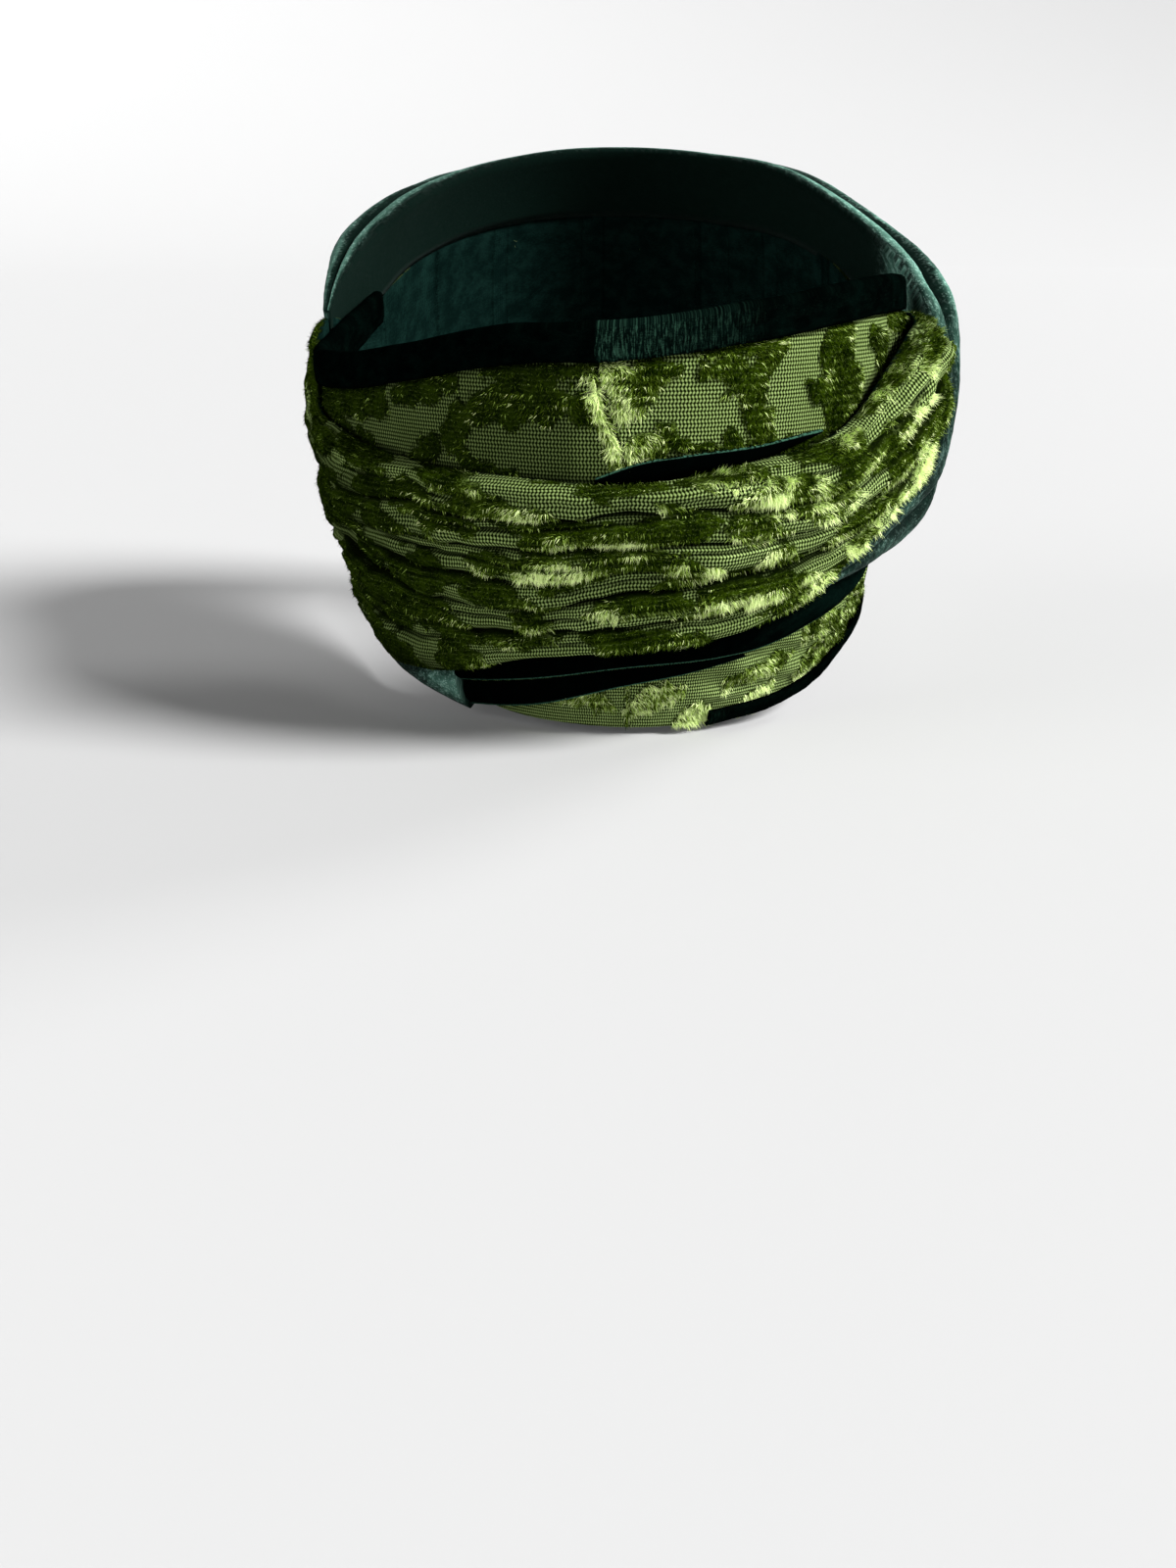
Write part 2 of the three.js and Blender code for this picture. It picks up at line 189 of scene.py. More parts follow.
# Shaders: a Wire is a socket that Python can calculate with
class Wire:
    def __init__(self, finish, socket):
        self.finish = finish
        self.socket = socket

    def __add__(self, other):
        return self.finish.maths("ADD", self, other)

    __radd__ = __add__

    def __sub__(self, other):
        return self.finish.maths("SUBTRACT", self, other)

    def __rsub__(self, other):
        return self.finish.maths("SUBTRACT", other, self)

    def __mul__(self, other):
        return self.finish.maths("MULTIPLY", self, other)


class Finish:
    def __init__(self, name):
        self.material = bpy.data.materials.new(name)
        self.material.use_nodes = True
        self.tree = self.material.node_tree
        self.tree.nodes.clear()

    def make(self, kind, settings=None, values=None, out=0):
        node = self.tree.nodes.new("ShaderNode" + kind)
        for key, value in (settings or {}).items():
            setattr(node, key, value)
        for key, value in (values or {}).items():
            if isinstance(value, Wire):
                self.tree.links.new(value.socket, node.inputs[key])
            else:
                node.inputs[key].default_value = value
        return Wire(self, node.outputs[out]) if len(node.outputs) else None

    def maths(self, operation, a, b=0.0, clamp=False):
        return self.make("Math", {"operation": operation, "use_clamp": clamp}, {0: a, 1: b})

    def between(self, value, low, high):  # 0 below low, 1 above high
        ends = {"Value": value, "From Min": low, "From Max": high}
        return self.make("MapRange", {"interpolation_type": "SMOOTHSTEP"}, ends)

    def mixed(self, share, a, b):  # two colours
        colours = {6: a if isinstance(a, Wire) else (*a, 1), 7: b if isinstance(b, Wire) else (*b, 1)}
        return self.make("Mix", {"data_type": "RGBA"}, {0: share, **colours}, out=2)

    def attributes(self, *names):
        return [self.make("Attribute", {"attribute_name": name}, out="Fac") for name in names]

    def stretched(self, vector, scale):
        return self.make("Mapping", None, {"Vector": vector, "Scale": scale})

    def noise(self, vector, scale, detail, roughness):
        values = {"Vector": vector, "Scale": scale, "Detail": detail, "Roughness": roughness}
        return self.make("TexNoise", None, values)

    def specks(self, vector, scale):  # one random value in each small cell
        cells = self.make("TexVoronoi", None, {"Vector": vector, "Scale": scale}, out="Color")
        return self.make("SeparateColor", None, {0: cells})

    def waves(self, value, pitch):  # from 0 to 1 and back in each pitch
        return self.maths("SINE", value * (2 * pi / pitch)) * 0.5 + 0.5

    def bump(self, height, distance, strength):
        return self.make("Bump", None, {"Strength": strength, "Distance": distance, "Height": height})

    def surface(self, values):
        shader = self.make("BsdfPrincipled", None, values)
        self.make("OutputMaterial", None, {"Surface": shader})
        return self.material


# Colours of the devoré cloth and its finish, and lengths in millimetres
devoreLook = {
    "pileDeep": (0.004, 0.009, 0.0004),
    "pile": (0.024, 0.045, 0.0015),
    # painted highlight on the opened pile
    "pileHighlight": (0.30, 0.42, 0.12),
    "ground": (0.050, 0.078, 0.013),
    # painted highlight on the knit's loops
    "groundHighlight": (0.34, 0.46, 0.17),
    # painted shade in the knit's gaps, creases and valleys
    "groundShade": (0.002, 0.004, 0.0006),
    "reverse": (0.0015, 0.006, 0.005),
    "reverseLit": (0.004, 0.015, 0.012),
    "knitPitch": 0.98,
    "rowPitch": 1.25,
    "ragged": 3.4,
}


def devoreFinish():
    look = devoreLook
    f = Finish("devoreCloth")
    cloth = f.make("Attribute", {"attribute_name": "cloth"}, out="Vector")
    along, across = (f.make("SeparateXYZ", None, {0: cloth}, out=k) for k in (0, 1))
    # painted light and painted shade come in as attributes, beside the pile's edge and the reverse face
    pileEdge, paintedLight, reverse, deep = f.attributes("pile", "paintedLight", "reverse", "deep")
    # ragged edge of the pile, with fibres lying along the cloth
    fibres = f.noise(f.stretched(cloth, (1.0, 2.4, 1.0)), 0.9, 3.0, 0.7)
    fineFibres = f.noise(f.stretched(cloth, (2.6, 1.2, 1.0)), 1.6, 2.0, 0.6)
    edge = pileEdge + (fibres - 0.5) * look["ragged"]
    isPile = f.between(edge, -0.25, 0.35)
    rim = isPile * (1 - f.between(edge, 0.2, 2.2))
    # knit of the ground: rows and columns of small loops, with a painted highlight on each loop and painted
    # shade in the gaps between them
    columns = f.waves(along + f.waves(across, look["knitPitch"] * 2) * 0.3, look["knitPitch"])
    rows = f.waves(across, look["knitPitch"])
    loops = columns * 0.55 + rows * 0.45
    glint = f.between(loops + (fineFibres - 0.5) * 0.6, 0.45, 0.8)
    gaps = f.between(1 - loops, 0.38, 0.72)
    # pile: dull where it lies down, with painted highlights where it opens, on the tufts at its rim and in
    # sparkling rows of stitches
    patches = f.noise(cloth, 0.16, 2.0, 0.6)
    dashes = f.waves(across + (patches - 0.5) * 2.5, look["rowPitch"])
    stitchSparkle = f.between(dashes, 0.62, 0.95) * f.between(fineFibres, 0.52, 0.66)
    tufts = f.specks(f.stretched(cloth, (1.0, 1.5, 1.0)), 1.7)
    openAndLit = f.between(paintedLight + (patches - 0.5) * 0.9 + (fibres - 0.5) * 0.9, 0.34, 0.86)
    rimLight = rim * f.between(tufts, 0.42, 0.9) * f.between(paintedLight, 0.12, 0.5) * 0.8
    bright = f.maths("MAXIMUM", openAndLit * f.between(tufts, 0.12, 0.75), rimLight)
    bright = f.maths("MAXIMUM", bright, stitchSparkle * 0.38)
    lyingDown = f.between(patches + (tufts - 0.5) * 0.3, 0.3, 0.7)
    pileColour = f.mixed(lyingDown, look["pileDeep"], look["pile"])
    pileColour = f.mixed(bright, pileColour, look["pileHighlight"])
    # the loops' painted highlight grows where painted light falls
    groundLight = glint * f.maths("ADD", paintedLight * 0.6, 0.55, True)
    groundColour = f.mixed(groundLight, look["ground"], look["groundHighlight"])
    groundColour = f.mixed(gaps * 0.95, groundColour, look["groundShade"])
    worn = f.between(fibres + (patches - 0.5) * 1.2, 0.3, 0.8)
    lining = f.mixed(worn, look["reverse"], look["reverseLit"])
    colour = f.mixed(isPile, groundColour, pileColour)
    # painted shade in valleys and creases, along the seam, above the pleats and on the left
    colour = f.mixed(deep, colour, look["groundShade"])
    colour = f.mixed(reverse, colour, lining)
    height = isPile * (0.4 + tufts * 0.5 + fibres * 0.5) + (1 - isPile) * loops * 0.22
    return f.surface({
        "Base Color": colour,
        "Roughness": f.make("Mix", None, {0: isPile, 2: 0.55, 3: 0.62}),
        "Normal": f.bump(height, 0.0006, 0.9),
        "Specular IOR Level": 0.0,
    })


# Velvet of one colour, with painted light and shade and the painted glitter of crushed pile
velvetLooks = {
    # in each, the lit and mid colours are painted light, the deepest colour is painted shade, and glitter
    # sets the painted sparkle
    "darkVelvet": {
        "deep": (0.0002, 0.0005, 0.0004), "face": (0.0005, 0.0024, 0.0018), "mid": (0.001, 0.004, 0.003),
        "paintedLight": (0.06, 0.17, 0.11), "glitter": 0.03, "sheen": 0.0, "specular": 0.0,
    },
    "tealVelvet": {
        "deep": (0.001, 0.006, 0.004), "face": (0.010, 0.036, 0.025), "mid": (0.105, 0.240, 0.185),
        "paintedLight": (0.50, 0.80, 0.68), "glitter": 1.0, "sheen": 0.03, "specular": 0.03,
    },
}


def velvetFinish(name):
    look = velvetLooks[name]
    f = Finish(name)
    cloth = f.make("Attribute", {"attribute_name": "cloth"}, out="Vector")
    rim, paintedLight, deep, reverse, ribbed = f.attributes("rim", "paintedLight", "deep", "reverse", "ribbed")
    patches = f.noise(cloth, 0.11, 2.0, 0.6)
    fuzz = f.noise(f.stretched(cloth, (1.0, 1.6, 1.0)), 1.3, 3.0, 0.75)
    grains = f.specks(f.stretched(cloth, (1.0, 1.3, 1.0)), 1.9)
    crushed = f.noise(f.stretched(cloth, (0.5, 1.2, 1.0)), 0.35, 3.0, 0.7)
    # painted glitter, only where painted light falls
    glitter = f.between(grains * 0.8 + (fuzz - 0.5) * 0.7 + (crushed - 0.5) * 1.1, 0.45, 1.1) * paintedLight
    strands = f.noise(f.stretched(cloth, (1.0, 0.12, 1.0)), 1.9, 2.0, 0.7)
    # painted sheen on the crushed ribs
    ribSheen = f.between(strands + (fuzz - 0.5) * 0.35, 0.46, 0.72) * ribbed
    # painted highlight along the edges
    edgeLine = f.between(rim, 0.35, 0.8) * f.between(fuzz, 0.36, 0.56)
    # darker or paler at random and with the painted light, then the painted highlights, then painted shade
    colour = f.mixed(f.between(patches + paintedLight * 0.5 - 0.25, 0.25, 0.75), look["deep"], look["face"])
    colour = f.mixed(f.between(paintedLight + (crushed - 0.5) * 0.9, 0.15, 0.9), colour, look["mid"])
    bright = f.maths("MAXIMUM", glitter * look["glitter"], edgeLine * 0.7)
    bright = f.maths("MAXIMUM", bright, ribSheen * 0.45)
    colour = f.mixed(bright, colour, look["paintedLight"])
    colour = f.mixed(f.maths("MAXIMUM", deep, reverse), colour, look["deep"])
    return f.surface({
        "Base Color": colour,
        "Roughness": 0.85,
        "Normal": f.bump(fuzz * 0.6 + grains * 0.4, 0.0004, 0.8),
        "Specular IOR Level": look["specular"],
        "Sheen Weight": look["sheen"],
        "Sheen Roughness": 0.35,
        "Sheen Tint": (0.62, 0.86, 0.78, 1),
    })


finishes = {
    "devore_cloth": devoreFinish(), "dark_velvet": velvetFinish("darkVelvet"),
    "teal_velvet": velvetFinish("tealVelvet"),
}
print("finishes made")


def dress(piece, slot, node):
    piece.data.materials.append(finishes[slot])
    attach(piece, "root")
    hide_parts(node)
    return piece


# Devoré strokes: from, bend and to on the flat cloth in millimetres, half width, lobes.
# The field is the distance inside the nearest stroke's edge, negative on the bare ground.
stroke = {
    "bareGround": -9.0,
    "bendAlong": [(1.5, 3.6, 3.6, 91), (0.8, 1.3, 1.3, 92)],
    "bendAcross": [(1.3, 3.1, 3.1, 93), (0.7, 1.2, 1.2, 94)],
    "taper": (0.08, 0.84),  # where its outline starts on a half wave, and how far it runs
    "lobe": 0.22,
    "steps": (6, 3),  # the fewest, and how many in one half width
}


def strokeField(along, across, strokes, repeat=None):
    field = np.full(along.shape, stroke["bareGround"])
    bendAlong = layered(along, across, stroke["bendAlong"])
    bendAcross = layered(along, across, stroke["bendAcross"])
    along, across = along + bendAlong, across + bendAcross
    (taperStart, taperRun), (fewest, inWidth) = stroke["taper"], stroke["steps"]
    for x0, y0, x1, y1, x2, y2, width, lobes in strokes:
        steps = max(fewest, int(hypot(x2 - x0, y2 - y0) / width * inWidth))
        for t in np.linspace(0, 1, steps):
            x = (1 - t) ** 2 * x0 + 2 * t * (1 - t) * x1 + t ** 2 * x2
            y = (1 - t) ** 2 * y0 + 2 * t * (1 - t) * y1 + t ** 2 * y2
            taper = sin(pi * (taperStart + taperRun * t)) ** 0.5
            size = width * taper * (1 + stroke["lobe"] * sin(2 * pi * lobes * t))
            dx, dy = along - x, across - y
            if repeat:
                dx = (dx + repeat[0] / 2) % repeat[0] - repeat[0] / 2
                dy = (dy + repeat[1] / 2) % repeat[1] - repeat[1] / 2
            field = np.maximum(field, size - np.hypot(dx, dy))
    return field


# The back band: its edges, and how far it stands off the head at the upper and lower one
band = {
    "leftEnd": -108, "rightEnd": 94, "columnStep": 0.42,
    "upperRows": 78, "hiddenRows": 8, "napeRows": 50, "innerRows": 10,
    "wall": 1.3, "thinnest": 0.4, "underBinding": 0.5, "pileHeight": 0.75,
    "flare": 2, "seamGap": -0.12, "seamDepth": 0.9,
    "rows": smoothTable("at top low upper lower", [
        (-108, 0, -72, 2, 2), (-98, -4.5, -80, 2.8, 2),
        (-90, -8.5, -86, 5.8, 2), (-80, -12.5, -93, 10.4, 2),
        (-66, -12.5, -101, 7, 1.8), (-45, -8, -107, 2.6, 1.5), (-22, -2.2, -109, 1.5, 1.5),
        (0, -0.6, -109.5, 1.5, 1.7), (22, 3, -108.4, 1.5, 3), (45, 6.6, -105.4, 1.6, 6),
        (62, 7.6, -99.4, 1.8, 8), (74, 7.2, -88.6, 2, 9.6), (84, 6.2, -79, 2, 6), (94, 5, -72, 2, 3),
    ]),
    "seam": smoothTable("z turn", [(-110, 0.8), (-50, 0), (-34, -0.4), (-20, -4), (-11, -5.5), (10, -5.5)]),
    "hidden": (-46, -78),  # heights under the pleats, where few rows are enough
    "bare": (-50, -76),  # and where no fibres grow
    "ripples": [(0.5, 14, 22, 11), (0.22, 5, 8, 12)],
    "lumps": [(0.18, 1.2, 13), (0.12, 2.1, 14)],
    # tufts beside the seam: reach at the top, how much more lower down, and the depths where it grows
    "tuftsLeft": (2.2, 2.6, 12, 30),
    "tuftsRight": (0.7, 1.4, 24, 32),
    "tuftsNape": 0.8,
    "strokes": [
        (-5, -14, 2, -11, 13, -11, 3.8, 2), (-3, -21, 0, -17, 8, -14, 3.2, 2),
        (2, -30, 6, -26, 15, -28, 3.6, 2),
        (17, -29, 40, -32, 66, -29, 1.7, 5), (26, -28, 28, -26, 31, -29, 2.4, 1),
        (16, -6, 26, -6, 44, -5, 2.6, 3), (19, -12, 26, -9, 35, -14, 3.0, 2),
        (43, -6, 25, -17, 44, -31, 3.7, 3), (36, -13, 31, -14, 27, -17, 2.2, 1),
        (68, -1, 62, -15, 72, -30, 7.4, 4), (66, -16, 58, -19, 53, -16, 2.8, 2),
        (76, -14, 70, -20, 79, -24, 3.4, 2),
        (84, -6, 92, -7, 96, -13, 4.4, 2), (96, -14, 104, -20, 112, -26, 4, 3),
        (100, -2, 112, -6, 126, -2, 3.4, 3),
        (-9, -20, -30, -17, -46, -22, 5.0, 4), (-46, -22, -56, -27, -50, -33, 4.2, 2),
        (-50, -33, -44, -38, -34, -37, 3.6, 2), (-10, -11, -26, -13, -40, -12, 2.8, 3),
        (-49, -15, -62, -16, -74, -20, 3.6, 3), (-82, -22, -100, -14, -122, -26, 8.5, 3),
        (-60, -30, -66, -38, -76, -42, 4, 2), (-90, -34, -104, -36, -118, -34, 5, 2),
        (-84, -12, -96, -8, -108, -12, 4, 2), (2, -105, 8, -98, 22, -98, 3.8, 3),
        (20, -110, 28, -105, 36, -106, 3.6, 2), (40, -98, 52, -93, 70, -92, 2.8, 3),
        (50, -106, 58, -104, 64, -99, 2.4, 1), (80, -98, 88, -96, 92, -88, 4.6, 2),
        (104, -92, 112, -84, 118, -78, 4.4, 2), (-30, -100, -18, -96, -6, -103, 3.4, 3),
        (74, -86, 84, -82, 96, -84, 3.4, 2), (96, -98, 102, -90, 100, -84, 3.6, 2),
    ],
}


def bandEnd(side):
    return band["leftEnd"] if side < 0 else band["rightEnd"]


def bandColumn(side, share, z):  # the two halves meet at the leaning seam
    end = bandEnd(side)
    seam = band["seam"](z)["turn"] + side * band["seamGap"]
    azimuth = end + (seam - end) * share
    upright = end + (band["seam"](0 * z)["turn"] - end) * share
    row = band["rows"](upright)
    down = np.clip((row["top"] - z) / (row["top"] - row["low"]), -0.1, 1.1)
    offset = row["upper"] + (row["lower"] - row["upper"]) * np.sign(down) * np.abs(down) ** band["flare"]
    return azimuth, row, offset


# Heights down one column: many rows above the pleats and at the nape, few between
def bandHeights(ends, outerRow, inner, isInner):
    hiddenTop, hiddenLow = band["hidden"]
    upperRows, hiddenRows = band["upperRows"], band["hiddenRows"]
    low = np.minimum(ends["low"], hiddenLow - 1)
    upper = ends["top"] + (hiddenTop - ends["top"]) * outerRow / upperRows
    hidden = hiddenTop + (hiddenLow - hiddenTop) * (outerRow - upperRows) / hiddenRows
    napeShare = (outerRow - upperRows - hiddenRows) / band["napeRows"]
    z = np.where(outerRow <= upperRows, upper, hidden)
    z = np.where(napeShare > 0, hiddenLow + (low - hiddenLow) * napeShare, z)
    return np.where(isInner, ends["top"] + (low - ends["top"]) * inner, z)


def tuftReach(depth, reach, more, start, end):
    return reach + more * ramp(depth, start, end)


def bandPileField(z, along, fromSeam, leftOfSeam):
    left, right = tuftReach(-z, *band["tuftsLeft"]), tuftReach(-z, *band["tuftsRight"])
    tufts = np.where(leftOfSeam, left, right) - fromSeam + 1.2 * noise(z / 2.2, along / 2.2, 5)
    tufts = np.where(z > band["bare"][0], tufts, band["tuftsNape"] - fromSeam)
    return np.maximum(strokeField(along, z, band["strokes"]), tufts)


def bandRelief(azimuth, z, along, pile, ends):
    gathers = ramp(azimuth, 60, 72) * 0.9 * np.sin(along * 2 * pi / 4.6 + z / 9)
    creases = 1.1 * ramp(-z, 84, 90) * np.sin((z + along * 0.16) * 2 * pi / 11)
    relief = band["wall"] + layered(along, z, band["ripples"]) + gathers * 0.8
    relief = relief + creases * ramp(azimuth, 8, 30)
    relief = relief + pile * (band["pileHeight"] + lumps(along, z, band["lumps"]))
    atLow = (1 - ramp(z - ends["low"], 5, 8)) * (azimuth > 20)
    covered = atLow + ramp(z - ends["top"], -10, -7)
    return relief - (relief - band["underBinding"]) * np.clip(covered, 0, 1)


# Painted light where the pile opens: beside the seam, and at the right of the nape, with painted shade
# towards the left
def bandLit(azimuth, z, along, fromSeam, leftOfSeam):
    left = 0.8 * (1 - ramp(fromSeam, 2.6, 6.4)) * (0.3 + 0.7 * ramp(-z, 10, 18))
    right = 0.5 * np.exp(-(fromSeam / 12) ** 2)
    tufted = 0.75 + 0.5 * noise(z / 3, along / 3, 6)
    upper = 0.1 + 0.9 * np.where(leftOfSeam, left, right) * tufted
    nape = 0.3 + 0.35 * ramp(azimuth, 2, 26) * ramp(-z, 96, 103)
    shaded = 1 - 0.4 * ramp(-azimuth, 8, 40)
    return np.where(z > band["bare"][0], upper, nape) * shaded + 0.12 * noise(along / 8, z / 6, 15)


# Painted shade along the seam, a painted shadow above the pleats' edge, and painted shade on the left half
def bandShade(azimuth, z, fromSeam):
    isUpper = z > band["bare"][0]
    aboveWrap = z - wrap["rows"](azimuth)["top"]
    alongSeam = 0.95 * (1 - ramp(fromSeam, 0.45, 1.2))
    reach = 1.0 + 1.6 * ramp(-azimuth, -10, 20)
    aboveEdge = (0.8 - 0.35 * ramp(azimuth, 40, 60)) * (1 - ramp(aboveWrap, 0.1, reach))
    deep = np.where(isUpper, np.maximum(alongSeam, aboveEdge), 0)
    return np.maximum(deep, 0.5 * ramp(-azimuth, 5, 12) * isUpper)


def backPanel(name, side):
    shares = np.linspace(0, 1, round(abs(bandEnd(side)) / band["columnStep"]))
    outerRows = band["upperRows"] + band["hiddenRows"] + band["napeRows"]

    def section(share, outer, inner, isInner):
        z = bandHeights(bandColumn(side, share, 0 * share)[1], outer * outerRows, inner, isInner)
        azimuth, ends, offset = bandColumn(side, share, z)
        along = lengthAlong(azimuth)
        seamTurn = band["seam"](z)["turn"]
        fromSeam = np.abs(along - lengthAlong(seamTurn))
        leftOfSeam = azimuth < seamTurn
        field = bandPileField(z, along, fromSeam, leftOfSeam)
        relief = bandRelief(azimuth, z, along, ramp(field, -0.3, 0.9), ends)
        valley = band["seamDepth"] * (1 - ramp(fromSeam, 0, 1.3))
        offset = np.where(isInner, offset, offset + np.maximum(relief - valley, band["thinnest"]))
        return azimuth, z, offset, {"cloth": clothPlace(along, z), "pile": field,
                                    "paintedLight": bandLit(azimuth, z, along, fromSeam, leftOfSeam),
                                    "deep": bandShade(azimuth, z, fromSeam)}

    return clothBody(name, shares, outerRows, band["innerRows"], section)


# Bindings folded over the band's edges: straight legs with a half-round crown between them
binding = {
    "width": 9.5, "napeWidth": 5, "napeShare": 0.76,
    "topColumns": 240, "napeColumns": 180, "outerRows": 26, "innerRows": 14,
    "half": 2.0, "hollow": 1.0, "reach": 1.5, "hollowReach": 0.5, "legShare": 0.38,
    "puff": 0.35, "standOff": 0.3,
}


def foldedBinding(name, side, shares, up, edgeName, width):
    legShare = binding["legShare"]

    def section(share, outer, inner, isInner):
        edge = bandColumn(side, share, 0 * share)[1][edgeName]
        t = np.where(isInner, inner, outer)
        half = np.where(isInner, binding["hollow"], binding["half"])
        reach = np.where(isInner, binding["hollowReach"], binding["reach"])
        firstLeg, lastLeg = t < legShare, t > 1 - legShare
        legDown = np.where(firstLeg, 1 - t / legShare, np.where(lastLeg, 1 - (1 - t) / legShare, 0))
        turn = np.clip((t - legShare) / (1 - 2 * legShare), 0, 1) * pi
        away = half * np.where(firstLeg, 1, np.where(lastLeg, -1, np.cos(turn)))
        crown = np.where(firstLeg | lastLeg, 0, np.sin(turn))
        beyond = reach * crown - legDown * (width - binding["reach"])
        turned = bandEnd(side) - share * bandEnd(side)
        along = lengthAlong(turned)
        swell = binding["puff"] * np.sin(pi * np.clip(legDown, 0, 1)) * np.sign(away)
        wave = 0.25 * noise(along / 9, t * 5, 31) + 0.1 * noise(along / 2.5, t * 9, 32)
        z = edge + up * (beyond + np.where(isInner, 0, 0.25 * noise(along / 12, t * 2, 33)))
        azimuth, _, offset = bandColumn(side, share, z)
        middle = offset + band["wall"] / 2 + binding["standOff"]
        offset = middle + away + np.where(isInner, 0, swell + wave * np.sign(away))
        outside = (away > 0) & ~isInner
        ribbed = (side > 0) * np.clip(1 - (turned + 5) / 34, 0, 1) * outside  # they fade out at the right
        # painted light, stronger where the ribs carry painted sheen
        return azimuth, z, offset, {"cloth": clothPlace(along, legDown * width), "ribbed": ribbed,
                                    "paintedLight": 0.25 + 0.5 * ribbed}

    return clothBody(name, shares, binding["outerRows"], binding["innerRows"], section)


